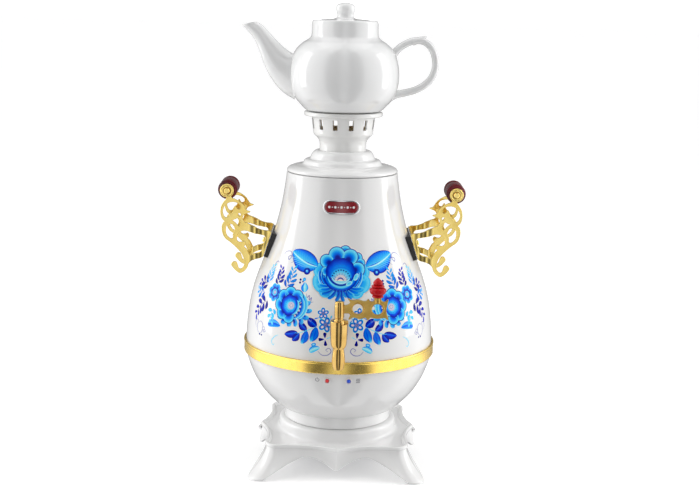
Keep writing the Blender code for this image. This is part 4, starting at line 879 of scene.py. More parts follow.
for side, sx in (("left", -1.0), ("right", 1.0)):
    for face, y0 in (("front", -26.25), ("rear", 26.25)):
        flat_curve("filigree_%s_%s" % (side, face), [plate_edge + arc[1:-1]] + plate_holes, 1.25, 0.45, GOLD,
                   "samovar", lambda v, s=sx, y=y0: np.column_stack([s * v[:, 0], y + v[:, 2], v[:, 1]]),
                   closed_step=0.8, bend=arm_wave, replaces=("handle_plate_%s_%s" % (side, face),),
                   slot="gold_plate", sharp=35.0)
        out = -1.0 if y0 < 0 else 1.0
        cap = chain([(7.25, 0.6), (7.25, 2.2)], [(7.25, 2.2), (7.1, 2.75), (6.5, 3.0), (5.9, 2.8)],
                    [(5.9, 2.8), (5.4, 2.35), (4.2, 2.2)], [(4.2, 2.2), (3.7, 1.6), (0.0, 1.6)],
                    [(0.0, 0.6), (7.25, 0.6)], step=0.35)
        m = np.array(((1, 0, 0, sx * BOSS_U), (0, 0, out, out * 26.0), (0, -1, 0, BOSS_Z), (0, 0, 0, 1)), float)
        lathe("boss_%s_%s" % (side, face), cap, GOLD, "samovar", n=56, place=m, slot="gold_plate")
    half = [(2.5, 0.0), (10.85, 0.0), (10.8, 5.0), (10.5, 9.5), (9.9, 13.4), (9.6, 15.2)]
    bead = [(9.6, 15.2), (9.9, 15.8), (10.6, 16.6), (10.9, 18.0), (10.6, 19.4), (9.9, 20.2), (9.5, 20.6)]
    tail = [(9.5, 20.6), (9.5, 21.4), (9.2, 22.6), (8.4, 23.8), (7.4, 24.6)]
    prof = chain(half[1:], bead, tail, [(7.4, 24.6), (2.5, 24.7)], step=0.5)
    mirror = prof[::-1].copy()
    mirror[:, 1] *= -1
    lathe("grip_turned_%s" % side, np.vstack([mirror[:-1], prof]), GRIP, "samovar", n=80,
          place=turn_y(sx * BOSS_U, BOSS_Z), replaces=("grip_%s" % side,), slot="maroon_gloss_grip", sharp=50.0)
    # strip: flat sheet lying along the flank, thinned towards its rounded edges
    us, vs = np.linspace(-28.5, 28.5, 40), np.linspace(-15.1, 15.1, 20)
    zc = 254.9
    verts, faces = [], []
    for layer, off in (("out", 0.0), ("in", -1.7)):
        for a in us:
            for b in vs:
                round_edge = min(1.0, (28.5 - abs(a)) / 1.2, (15.1 - abs(b)) / 1.2)
                lift = -0.35 * (1 - round_edge) if off == 0.0 else 0.35 * (1 - round_edge)
                base = np.array([strip_u(zc), 0.0, zc]) + flank_n * (off + lift)
                down = np.array([-flank_n[2], 0.0, flank_n[0]])
                q = base + down * b
                verts.append((sx * q[0], a, q[2]))
    nu, nv = len(us), len(vs)
    idx = lambda l, i, j: l * nu * nv + i * nv + j
    for i in range(nu - 1):
        for j in range(nv - 1):
            for l in (0, 1):
                faces.append((idx(l, i, j), idx(l, i + 1, j), idx(l, i + 1, j + 1), idx(l, i, j + 1)))
    for i in range(nu - 1):
        for j in (0, nv - 1):
            faces.append((idx(0, i, j), idx(0, i + 1, j), idx(1, i + 1, j), idx(1, i, j)))
    for j in range(nv - 1):
        for i in (0, nu - 1):
            faces.append((idx(0, i, j), idx(0, i, j + 1), idx(1, i, j + 1), idx(1, i, j)))
    make("strip_%s" % side, verts, faces, GOLD, "samovar", replaces=("handle_strip_%s" % side,),
         slot="gold_plate", sharp=50.0)
    head = chain([(0.0, -8.5), (2.0, -8.5)], [(2.0, -8.5), (2.0, 0.3)], [(2.0, 0.3), (2.9, 0.3)],
                 [(2.9, 0.3), (3.05, 0.9), (3.05, 3.9), (2.9, 4.5), (2.3, 5.1)], [(2.3, 5.1), (0.9, 5.4), (0.0, 5.4)],
                 step=0.3)
    z_s = 254.0
    n_vec = Vector((sx * flank_n[0], 0.0, flank_n[2]))
    m = np.array(Matrix.Translation((sx * strip_u(z_s), 0.0, z_s)) @ n_vec.to_track_quat("Z", "Y").to_matrix().to_4x4())
    lathe("handle_screw_%s_knurled" % side, head, GOLD, "samovar", n=40, place=m,
          replaces=("handle_screw_%s" % side,), slot="gold_plate")

# ------------------------------------------------------------------ badge and indicators
ARC = np.concatenate([[0.0], np.cumsum(np.hypot(np.diff(TANK[:, 0]), np.diff(TANK[:, 1])))])
BARC = np.concatenate([[0.0], np.cumsum(np.hypot(np.diff(bowl_out[::-1, 0]), np.diff(bowl_out[::-1, 1])))])


class Skin:
    """A wall of revolution: (phi, arc) to space, with its outward normal."""

    def __init__(self, prof, arc):
        self.r, self.z, self.m = prof[:, 0], prof[:, 1], arc
        dr, dz = np.gradient(self.r, self.m), np.gradient(self.z, self.m)
        self.nr, self.nz = dz, -dr

    def arc_of(self, z):
        return float(np.interp(z, self.z, self.m))

    def at(self, phi, m, off):
        r, z = np.interp(m, self.m, self.r), np.interp(m, self.m, self.z)
        nr, nz = np.interp(m, self.m, self.nr), np.interp(m, self.m, self.nz)
        q = np.sqrt(nr ** 2 + nz ** 2)
        nr, nz = nr / q, nz / q
        rr = r + nr * off
        n = np.stack([nr * np.sin(phi), -nr * np.cos(phi), nz], -1)
        return np.stack([rr * np.sin(phi), -rr * np.cos(phi), z + nz * off], -1), n

    def radius(self, m):
        return np.interp(m, self.m, self.r)


TANK_SKIN = Skin(TANK, ARC)
BOWL_SKIN = Skin(bowl_out[::-1], BARC)


class Painter:
    """Collects brush strokes as thin patches lying on a skin, each with its own colours."""

    def __init__(self, skin, lift=0.035):
        self.skin, self.lift = skin, lift
        self.v, self.n, self.c, self.f, self.total = [], [], [], [], 0

    def patch(self, P, C, layer, frame, wrap=False):
        phi0, m0, rot, scale, mirror = frame
        u, w = P[..., 0] * scale * mirror, P[..., 1] * scale
        cr, sr = math.cos(rot), math.sin(rot)
        uu, ww = u * cr - w * sr, u * sr + w * cr
        m = m0 + ww
        phi = phi0 + uu / self.skin.radius(m)
        pos, nrm = self.skin.at(phi, m, self.lift + 0.010 * layer)
        a, b = P.shape[:2]
        idx = self.total + np.arange(a * b).reshape(a, b)
        if wrap:
            idx = np.concatenate([idx, idx[:, :1]], 1)
        q = np.stack([idx[:-1, :-1], idx[1:, :-1], idx[1:, 1:], idx[:-1, 1:]], -1).reshape(-1, 4)
        self.v.append(pos.reshape(-1, 3)); self.n.append(nrm.reshape(-1, 3))
        self.c.append(np.broadcast_to(C, P.shape[:2] + (3,)).reshape(-1, 3)); self.f.append(q)
        self.total += a * b

    def place(self, prims, phi_deg, z, rot=0.0, scale=1.0, mirror=1.0, dlayer=0):
        frame = (math.radians(phi_deg), self.skin.arc_of(z), math.radians(rot) * mirror, scale, mirror)
        for P, C, layer, wrap in prims:
            self.patch(P, C, layer + dlayer, frame, wrap)

    def build(self, name, mat, body):
        v, n, c, f = (np.concatenate(x) for x in (self.v, self.n, self.c, self.f))
        # every patch faces outwards
        a, b, d = v[f[:, 0]], v[f[:, 1]], v[f[:, 3]]
        flip = np.einsum("ij,ij->i", np.cross(b - a, d - a), n[f[:, 0]]) < 0
        f[flip] = f[flip][:, ::-1]
        mesh = bpy.data.meshes.new(name)
        mesh.from_pydata((v * MM + np.array([0.0, AY, 0.0])).tolist(), [], f.tolist())
        layer = mesh.color_attributes.new("stroke", "FLOAT_COLOR", "POINT")
        rgba = np.column_stack([c, np.ones(len(c))]).astype(np.float32)
        layer.data.foreach_set("color", rgba.ravel())
        mesh.shade_smooth()
        mesh.normals_split_custom_set_from_vertices(n.tolist())
        obj = bpy.data.objects.new(name, mesh)
        bpy.context.scene.collection.objects.link(obj)
        mesh.materials.append(mat)
        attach(obj, body)
        return obj


def disc(c, rx, ry, stops, layer, rot=0.0, shift=(0.0, 0.0), n=36, rings=8, lobes=0, amp=0.0, phase=0.0,
         a0=None, a1=None):
    t = np.linspace(0.002, 1.0, rings)[:, None]
    if a0 is None:
        th = (TAU * np.arange(n) / n)[None]
    else:
        th = np.radians(np.linspace(a0, a1, n))[None]
    k = 1.0 + amp * np.cos(lobes * th + phase) * t ** 2
    x, y = rx * t * np.cos(th) * k, ry * t * np.sin(th) * k
    cr, sr = math.cos(math.radians(rot)), math.sin(math.radians(rot))
    X = c[0] + x * cr - y * sr + shift[0] * (1 - t)
    Y = c[1] + x * sr + y * cr + shift[1] * (1 - t)
    P = np.stack([X, Y], -1)
    C = np.repeat(ramp(stops, t[:, 0])[:, None], P.shape[1], 1)
    return (P, C, layer, a0 is None)


def leaf(p0, p1, w, stops, layer, bend=0.0, n=14, m=7, tip=0.55, base=0.8, split=0.0, split_stops=None):
    """Pointed leaf from p0 to p1; stops run from the middle (0) to the edge (1)."""
    p0, p1 = np.asarray(p0, float), np.asarray(p1, float)
    t = np.linspace(0.0, 1.0, n)
    d = p1 - p0
    length = np.linalg.norm(d)
    e = d / max(length, 1e-9)
    nn = np.array([-e[1], e[0]])
    mid = p0 + d * t[:, None] + nn * (bend * length * np.sin(np.pi * t))[:, None]
    wd = w * (np.sin(np.pi * t ** base) ** tip) + 0.02
    s = np.linspace(-1, 1, m)
    P = mid[:, None] + nn * (wd[:, None] * s)[..., None]
    if split_stops is None:
        C = np.repeat(ramp(stops, np.abs(s))[None], n, 0)
    else:
        C = np.where((s > 0)[None, :, None], ramp(stops, np.abs(s))[None], ramp(split_stops, np.abs(s))[None])
        C = np.repeat(C, n, 0)
    return (P, C, layer, False)


def comma(p0, p1, w, stops, layer, bend=0.0, across=None, n=16, m=7, fat=0.75):
    """Loaded brush stroke: thin tail at p0, round head at p1; stops run tail to head."""
    p0, p1 = np.asarray(p0, float), np.asarray(p1, float)
    t = np.linspace(0.0, 1.0, n)
    t = 1 - (1 - t) ** 1.4
    d = p1 - p0
    length = np.linalg.norm(d)
    e = d / max(length, 1e-9)
    nn = np.array([-e[1], e[0]])
    mid = p0 + d * t[:, None] + nn * (bend * length * np.sin(np.pi * t))[:, None]
    wd = w * (t ** fat) * np.sqrt(np.clip(1 - t ** 7, 0, 1)) + 0.02
    s = np.linspace(-1, 1, m)
    P = mid[:, None] + nn * (wd[:, None] * s)[..., None]
    C = np.repeat(ramp(stops, t)[:, None], m, 1)
    if across is not None:
        k = ramp(across, (s + 1) / 2)[None]
        C = 0.45 * C + 0.55 * np.repeat(k, n, 0)
    return (P, C, layer, False)


def line(points, w, color, layer, taper=0.8, step=0.6):
    q = spline(np.asarray(points, float), step)
    t = np.linspace(0, 1, len(q))
    tg = np.gradient(q, axis=0)
    tg /= np.linalg.norm(tg, axis=1)[:, None] + 1e-12
    nn = np.stack([-tg[:, 1], tg[:, 0]], -1)
    wd = w * np.clip(np.sin(np.pi * np.clip(t, 0.02, 0.98)), 0, 1) ** taper * 0.9 + w * 0.12
    s = np.array([-1.0, 0.0, 1.0])
    P = q[:, None] + nn[:, None] * (wd[:, None] * s)[..., None]
    return (P, np.broadcast_to(color, P.shape[:2] + (3,)), layer, False)


def crescent(c, r, thick, a0, a1, stops, layer, ry=None, n=32, m=6, power=0.6, lean=0.0):
    """Arc-shaped stroke tapering to both ends; stops run from the inner to the outer edge."""
    ry = r if ry is None else ry
    th = np.radians(np.linspace(a0, a1, n))
    t = np.linspace(0, 1, n)
    w = thick * np.sin(np.pi * np.clip(t * (1 - lean) + lean * t * t, 0, 1)) ** power + 0.03
    s = np.linspace(0.0, 1.0, m)
    k = 1 + (s[None] - 0.5) * (w / r)[:, None]
    P = np.stack([c[0] + r * k * np.cos(th)[:, None], c[1] + ry * k * np.sin(th)[:, None]], -1)
    C = np.repeat(ramp(stops, s)[None], n, 0)
    return (P, C, layer, False)


def halo(prims, grow=0.8, color=HALO, layer=-2):
    """A slightly larger cream ground under each stroke, as fired prints have."""
    out = []
    for P, C, _, wrap in prims:
        if P.shape[0] < 5 or P.shape[1] < 5:
            continue
        centre = P.reshape(-1, 2).mean(0)
        d = P - centre
        r = np.linalg.norm(d, axis=-1, keepdims=True) + 1e-9
        out.append((centre + d * (1 + grow / np.maximum(r, 1.2)), np.broadcast_to(color, P.shape[:2] + (3,)), layer, wrap))
    return out


PETAL = [(0.0, NAVY), (0.28, NAVY), (0.46, ROYAL), (0.62, MID), (0.76, SKY), (0.90, CYAN), (0.96, PALE), (1.0, CYAN)]
OUTER = [(0.0, DEEP), (0.25, ROYAL), (0.5, MID), (0.72, SKY), (0.92, CYAN), (1.0, SKY)]
SHELL = [(0.0, NAVY), (0.35, ROYAL), (0.65, MID), (0.85, CYAN), (1.0, PALE)]
FANC = [(0.0, PALE), (0.4, SKY), (0.75, ROYAL), (1.0, NAVY)]


def scallops(centre, ring, radii, layer, deep=0.62, out=1.0):
    """Lobed petals round a flower, each dark towards the flower's middle."""
    prims = []
    for a, rr in radii:
        c = (centre[0] + ring * math.cos(math.radians(a)), centre[1] + ring * math.sin(math.radians(a)))
        inward = (-math.cos(math.radians(a)) * rr * deep, -math.sin(math.radians(a)) * rr * deep)
        prims.append(disc(c, rr + 0.75 * out, rr + 0.75 * out, [(0, INDIGO), (1, INDIGO)], layer))
        prims.append(disc(c, rr, rr, PETAL, layer + 1, shift=inward))
    return prims


def big_rose():
    p = []
    # broad pale petals spreading behind
    for c, rx, ry, rot, sh in (((-21.5, 5.0), 8.6, 8.8, 10, (7.5, -2.5)), ((25.0, 3.5), 7.4, 9.6, -8, (-8.0, -2.5)),
                               ((-21.0, -8.5), 9.6, 11.0, 20, (9.0, 3.0)), ((23.5, -9.0), 10.2, 10.6, -25, (-9.5, 3.5)),
                               ((-14.5, -16.5), 9.0, 7.6, 25, (7.0, 5.5)), ((16.5, -17.0), 9.6, 7.6, -22, (-8.0, 6.0))):
        p.append(disc(c, rx, ry, OUTER, 0, rot=rot, shift=sh))
    p += scallops((2.0, 6.5), 21.0, ((82, 5.6), (40, 5.2), (20, 4.8)), 1, out=1.2)
    p += scallops((0.3, 5.0), 18.6, ((145, 7.2), (104, 8.4), (58, 8.4), (6, 7.6)), 3, out=1.3)
    p += scallops((0.3, 4.0), 16.4, ((178, 4.8),), 5, out=0.6)
    # deep ring and cup
    p.append(disc((0.3, 3.8), 16.2, 15.8, [(0, SKY), (0.35, SKY), (0.52, MID), (0.72, ROYAL), (0.88, DEEP), (1, NAVY)],
                  7, shift=(0.3, -4.0), n=56, rings=12, lobes=9, amp=0.035))
    p.append(disc((0.8, -0.6), 11.8, 10.4, [(0, PALE), (0.45, CYAN), (0.78, SKY), (0.93, MID), (1, ROYAL)], 8,
                  shift=(0.2, -3.0), n=48, rings=10))
    for k in range(15):                                   # fan of stamens
        a = math.radians(14 + 152 * k / 14)
        tint = LAV if k % 2 else INDIGO * 0.55 + LAV * 0.45
        p.append(leaf((0.4 + 2.2 * math.cos(a), -5.4 + 2.2 * math.sin(a)),
                      (0.4 + 9.6 * math.cos(a), -5.4 + 9.6 * math.sin(a)), 0.42, [(0, tint), (1, tint)], 9, n=6, m=3))
    p.append(disc((0.4, -5.6), 6.3, 6.6, [(0, CREAM), (1, lin((226, 212, 214)))], 10, a0=0, a1=180, n=24))
    for k in range(9):
        a = math.radians(20 + 140 * k / 8)
        p.append(leaf((0.4 + 3.0 * math.cos(a), -5.5 + 3.0 * math.sin(a)),
                      (0.4 + 6.2 * math.cos(a), -5.5 + 6.2 * math.sin(a)), 0.28, [(0, LAV), (1, LAV)], 11, n=5, m=3))
    p.append(crescent((0.2, -5.7), 3.3, 1.5, 8, 172, [(0, INDIGO), (1, NAVY)], 12, n=20, m=4))
    for k in range(11):                                   # dots
        a = math.radians(8 + 164 * k / 10)
        p.append(disc((0.6 + 10.0 * math.cos(a), -4.2 + 10.6 * math.sin(a)), 0.85, 0.85, [(0, NAVY), (1, NAVY)], 11,
                      n=12, rings=3))
    for a, b, w in (((-3.0, -14.0), (-13.0, -25.5), 2.5), ((-0.5, -14.0), (-4.4, -27.6), 2.7),
                    ((3.0, -14.0), (4.0, -28.0), 2.7), ((6.0, -13.6), (12.4, -25.6), 2.5),
                    ((-6.0, -13.0), (-20.0, -21.0), 2.3)):
        p.append(comma(a, b, w, [(0, NAVY), (0.5, DEEP), (1, MID)], 12, bend=0.10 if a[0] < 1 else -0.10,
                       across=[(0, NAVY), (0.5, ROYAL), (1, SKY)]))
    # lips of the cup, front petals
    p.append(crescent((0.5, 2.4), 10.8, 2.6, 200, 336, [(0, CYAN), (0.5, PALE), (1, SKY)], 13, ry=10.6))
    p.append(crescent((0.5, 1.6), 12.4, 2.9, 190, 342, [(0, DEEP), (0.6, NAVY), (1, ROYAL)], 13, ry=12.0))
    p.append(crescent((0.6, 1.0), 14.6, 3.2, 186, 352, [(0, SKY), (0.45, CYAN), (0.8, SKY), (1, MID)], 14, ry=13.6))
    p.append(disc((9.6, -8.2), 3.6, 2.2, [(0, SKY), (0.7, CYAN), (1, PALE)], 15, rot=30))
    p.append(disc((17.2, -1.2), 2.4, 4.2, [(0, SKY), (0.7, CYAN), (1, PALE)], 15, rot=-25, shift=(-1.2, 0.5)))
    p.append(crescent((0.4, 1.2), 17.6, 5.0, 184, 354, [(0, MID), (0.35, ROYAL), (0.7, DEEP), (1, NAVY)], 12, ry=16.4))
    # side petals curling up
    for s in (-1.0, 1.0):
        a0, a1 = (168, 262) if s < 0 else (12, -82)
        p.append(crescent((0.0 - s * 0.6, 0.6), 20.8, 4.4, a0, a1, SHELL if s < 0 else SHELL, 6, ry=18.6))
        p.append(crescent((0.0 - s * 1.6, 1.6), 24.8, 4.6, a0 + s * -2, a1, SHELL, 5, ry=21.0))
        p.append(crescent((0.0 - s * 1.0, 1.0), 22.8, 1.0, a0, a1, [(0, NAVY), (1, DEEP)], 7, ry=20.0))
    # loaded strokes fanning out below
    fan = [(188, 25.5, 3.0, 0.10), (203, 25.5, 3.3, 0.10), (221, 24.0, 3.5, 0.08), (240, 21.0, 3.1, 0.05),
           (258, 18.5, 2.6, 0.0), (275, 17.5, 2.4, 0.0), (293, 19.5, 2.6, -0.04), (311, 22.5, 3.0, -0.07),
           (327, 26.0, 3.4, -0.10), (343, 27.0, 3.4, -0.12)]
    for k, (a, length, w, bend) in enumerate(fan):
        e = (math.cos(math.radians(a)), math.sin(math.radians(a)))
        start = (0.2 + e[0] * 6.5, -8.5 + e[1] * 4.5)
        tip = (0.2 + e[0] * length, -8.0 + e[1] * length * 0.86)
        p.append(comma(start, tip, w + 0.5, [(0, NAVY), (1, SKY)], 8 + (k % 2), bend=bend,
                       across=[(0, CYAN), (0.45, SKY), (1, ROYAL)] if a < 265 else [(0, ROYAL), (0.55, SKY), (1, CYAN)]))
        p.append(comma(start, (tip[0] * 0.86 + start[0] * 0.14, tip[1] * 0.86 + start[1] * 0.14), w * 0.52,
                       [(0, NAVY), (0.6, ROYAL), (1, MID)], 10, bend=bend))
    return p


def side_rose():
    p = []
    for a, length, w in ((14, 24.0, 3.3), (-6, 26.4, 3.3), (-25, 26.0, 3.4), (-44, 24.6, 3.4), (-64, 23.0, 3.4),
                         (-86, 22.0, 3.8), (-110, 21.6, 3.9), (-132, 20.4, 3.4)):
        e = (math.cos(math.radians(a)), math.sin(math.radians(a)))
        start, tip = (e[0] * 9.0, e[1] * 9.0), (e[0] * length, e[1] * length)
        p.append(comma(start, tip, w, [(0, NAVY), (0.5, ROYAL), (0.8, SKY), (1, CYAN)], 0,
                       bend=0.08 if a < -40 else -0.08, across=[(0, DEEP), (0.4, MID), (1, CYAN)]))
        p.append(comma(start, (tip[0] * 0.86, tip[1] * 0.86), w * 0.42, [(0, NAVY), (0.7, NAVY), (1, ROYAL)], 1))
    p.append(crescent((3.4, 0.6), 15.6, 4.4, -62, 66, [(0, ROYAL), (0.35, SKY), (0.75, CYAN), (1, PALE)], 2))
    p += scallops((-0.4, 0.5), 12.0, [(a, 6.6) for a in (52, 96, 140, 184, 228, 272)], 3, out=1.1)
    p.append(crescent((1.8, 0.2), 13.8, 4.4, -74, 58, [(0, DEEP), (0.4, MID), (0.8, CYAN), (1, PALE)], 6))
    p.append(disc((-0.2, 0.2), 11.2, 11.0, [(0, SKY), (0.42, SKY), (0.56, MID), (0.74, ROYAL), (0.9, DEEP), (1, NAVY)], 7,
                  n=48, rings=10, lobes=7, amp=0.05))
    p.append(disc((0.2, -0.2), 7.6, 7.2, [(0, PALE), (0.45, CYAN), (0.8, SKY), (1, MID)], 8, n=36, lobes=7, amp=0.04))
    for k in range(12):
        a = math.radians(70 + 230 * k / 11)
        p.append(disc((0.8 + 5.7 * math.cos(a), -0.1 + 5.5 * math.sin(a)), 0.45, 0.45, [(0, ROYAL), (1, ROYAL)], 10, n=8,
                      rings=2))
    p.append(disc((1.6, 0.0), 4.1, 3.9, [(0, lin((214, 206, 216))), (0.8, lin((206, 204, 226))), (1, LAV)], 9, rot=20))
    for k in range(6):
        a = math.radians(20 + 60 * k)
        p.append(disc((1.8 + 1.9 * math.cos(a), 0.2 + 1.7 * math.sin(a)), 0.55, 0.55, [(0, INDIGO), (1, LAV)], 11, n=8, rings=3))
    p.append(crescent((0.8, 0.0), 9.6, 2.4, -70, 44, [(0, SKY), (0.6, CYAN), (1, PALE)], 12))
    return p


def small_flower():
    p = []
    for k in range(7):
        a = 51.4 * k + 12
        c = (6.6 * math.cos(math.radians(a)), 6.6 * math.sin(math.radians(a)))
        p.append(disc(c, 4.0, 3.8, [(0, NAVY), (0.3, DEEP), (0.6, MID), (0.85, SKY), (1, CYAN)], 0,
                      shift=(-c[0] * 0.42, -c[1] * 0.42), n=22, rings=7))
    p.append(disc((0, 0), 5.6, 5.4, [(0, SKY), (0.5, MID), (0.8, DEEP), (1, NAVY)], 3, n=30))
    p.append(disc((0, 0), 3.9, 3.8, [(0, PALE), (0.6, CYAN), (1, SKY)], 4, n=26))
    p.append(disc((0.3, 0), 2.3, 2.2, [(0, lin((212, 206, 222))), (0.8, LAV), (1, INDIGO)], 5, n=20))
    return p


def five_petal():
    p = []
    for k in range(5):
        a = 90 + 72 * k
        c = (3.5 * math.cos(math.radians(a)), 3.5 * math.sin(math.radians(a)))
        p.append(disc(c, 3.3, 2.5, [(0, CREAM), (0.30, CREAM), (0.44, MID), (0.7, DEEP), (0.86, SKY), (1, CYAN)], 0,
                      rot=a, n=22, rings=9))
    p.append(disc((0, 0), 1.5, 1.5, [(0, LAV), (0.6, INDIGO), (1, LAV)], 2, n=16, rings=4))
    return p


def trefoil():
    p = []
    for a in (96, 186, 276):
        e = (math.cos(math.radians(a)), math.sin(math.radians(a)))
        p.append(comma((e[0] * 0.8, e[1] * 0.8), (e[0] * 6.6, e[1] * 6.6), 2.2, [(0, ROYAL), (0.35, NAVY), (1, NAVY)], 0))
    p.append(comma((0.4, -0.2), (5.2, 2.6), 0.8, [(0, SKY), (1, PALE)], 0))
    return p


def sprig(points, size, dark, light, n, alt=True, fat=0.34, spread=50.0):
    """Stem with paired leaves; leaves run from dark to light along the stem."""
    p = []
    q = spline(points, 0.5)
    p.append(line(points, 0.22, dark * 0.6 + light * 0.4, 0))
    for k in range(n):
        t = 0.04 + 0.94 * k / max(n - 1, 1)
        i = min(len(q) - 2, int(t * (len(q) - 1)))
        e = q[i + 1] - q[i]
        base = math.atan2(e[1], e[0])
        for s in ((-1, 1) if not alt else ((-1,) if k % 2 else (1,))):
            a = base + s * math.radians(spread * (1 - 0.35 * t))
            d = size * (0.72 + 0.4 * math.sin(math.pi * min(1, 0.25 + t)))
            tip = (q[i][0] + d * math.cos(a), q[i][1] + d * math.sin(a))
            c0 = dark * (1 - t) + light * t
            p.append(leaf(q[i], tip, d * fat, [(0, c0 * 0.55 + light * 0.45), (0.5, c0), (1, c0 * 0.8 + dark * 0.2)], 1,
                          bend=0.08 * s, n=9, m=5, base=1.25, tip=0.62))
    return p


def big_leaf():
    p0, p1 = (0.0, 0.0), (36.0, 0.0)
    p = [leaf(p0, p1, 12.2, [(0, CYAN), (0.3, SKY), (0.62, MID), (0.84, ROYAL), (0.96, NAVY), (1, NAVY)], 0, bend=0.05,
              n=30, m=13, tip=0.62, base=0.92,
              split_stops=[(0, CYAN), (0.35, SKY), (0.7, MID), (0.9, ROYAL), (1, NAVY)])]
    for k in range(9):
        t = 0.12 + 0.08 * k
        x = 36.0 * t
        h = 12.2 * math.sin(math.pi * t ** 0.92) ** 0.62
        for s in (-1, 1):
            p.append(line([(x, 1.6 * s * 0.4 + 1.6), (x + 3.4, 1.6 + s * h * 0.36), (x + 7.4, 1.6 + s * h * 0.70)], 0.32,
                          PALE * 0.35 + SKY * 0.65 if s > 0 else CYAN * 0.4 + MID * 0.6, 1))
    p.append(line([(1.0, 0.2), (10.0, 2.0), (20.0, 2.2), (30.0, 1.2), (35.0, 0.2)], 0.85, PALE, 2, taper=0.6))
    p.append(line([(0.5, -0.5), (10.0, 0.9), (19.0, 1.2)], 0.45, ROYAL, 2, taper=0.6))
    return p


def berry():
    return [disc((0, 0), 3.9, 3.9, [(0, CYAN), (0.22, SKY), (0.45, DEEP), (1, NAVY)], 0, n=24),
            disc((-0.3, 0.4), 1.5, 1.3, [(0, PALE), (0.5, CYAN), (1, MID)], 1, n=14, rings=4)]


def bud():
    return [leaf((0, -5.8), (0, 5.6), 4.3, [(0, CYAN), (0.35, SKY), (0.75, MID), (1, ROYAL)], 0, tip=0.8, n=18, m=9,
                 split_stops=[(0, PALE), (0.5, CYAN), (1, MID)]),
            line([(0.6, -4.8), (-0.6, 0.0), (0.4, 4.4)], 0.45, PALE, 1),
            disc((-1.0, 8.4), 1.9, 2.3, [(0, CYAN), (0.6, SKY), (1, MID)], 0, rot=-20, n=16, rings=5),
            disc((-5.6, 8.2), 1.3, 1.3, [(0, NAVY), (1, NAVY)], 0, n=12, rings=3),
            disc((-6.0, 5.0), 1.3, 1.3, [(0, NAVY), (1, NAVY)], 0, n=12, rings=3),
            disc((-2.6, 6.0), 0.9, 0.9, [(0, NAVY), (1, NAVY)], 0, n=10, rings=3)]


def leaf_spray():
    """Six leaves leaving a stem that runs towards the middle of the tank."""
    dark = [(0, ROYAL), (0.35, DEEP), (1, NAVY)]
    fade = [(0, ROYAL), (0.5, MID), (1, DEEP)]
    p = []
    for p0, p1, w, st in (((-0.6, 4.2), (-9.4, 11.2), 3.9, dark), ((-9.8, 0.2), (-17.8, 7.2), 3.3, dark),
                          ((-18.8, -2.2), (-32.8, -5.4), 3.5, dark), ((-0.8, 3.6), (-6.4, -10.0), 3.8, fade),
                          ((-9.6, -0.2), (-15.2, -12.4), 3.5, fade), ((-17.0, -2.8), (-24.4, -10.4), 3.1, dark)):
        p.append(leaf(p0, p1, w, st, 0, bend=0.06, n=16, m=7, base=0.95, tip=0.7))
        mid = ((p0[0] + p1[0]) / 2, (p0[1] + p1[1]) / 2)
        p.append(line([p0, mid, p1], 0.22, MID, 1))
        if st is fade:
            p.append(comma((p0[0] * 0.5 + p1[0] * 0.5, p0[1] * 0.5 + p1[1] * 0.5), p1, 1.8,
                           [(0, MID), (0.7, SKY), (1, PALE)], 1))
    p.append(line([(0.0, 4.4), (-9.0, 0.4), (-18.0, -2.8), (-22.0, -3.0)], 0.35, CYAN, 1))
    return p


def scroll(points, w=0.28, color=LAV * 0.55 + INDIGO * 0.45):
    return [line(points, w * 1.5, color, 0, taper=0.5, step=0.4)]


CURL = [(0, 0), (3.0, 5.0), (9.5, 6.6), (12.6, 2.4), (10.4, -2.6), (8.2, -0.6), (10.4, 2.0), (15.4, 1.4), (17.0, -3.2),
        (14.6, -5.6)]
LOOPS = [(2.2, -4.2), (-1.2, 0.0), (0.6, 4.8), (4.6, 4.2), (4.0, -0.4), (5.4, -6.8), (9.6, -9.0)]
LOOPS2 = [(6.2, 2.0), (10.0, 4.6), (14.4, 2.4), (15.6, -3.0), (12.6, -8.2), (9.6, -9.0)]
LOOPS3 = [(14.0, -2.0), (18.4, -0.4), (19.6, -3.4), (16.6, -4.4), (17.8, -6.2), (21.8, -4.2), (22.4, -2.2)]

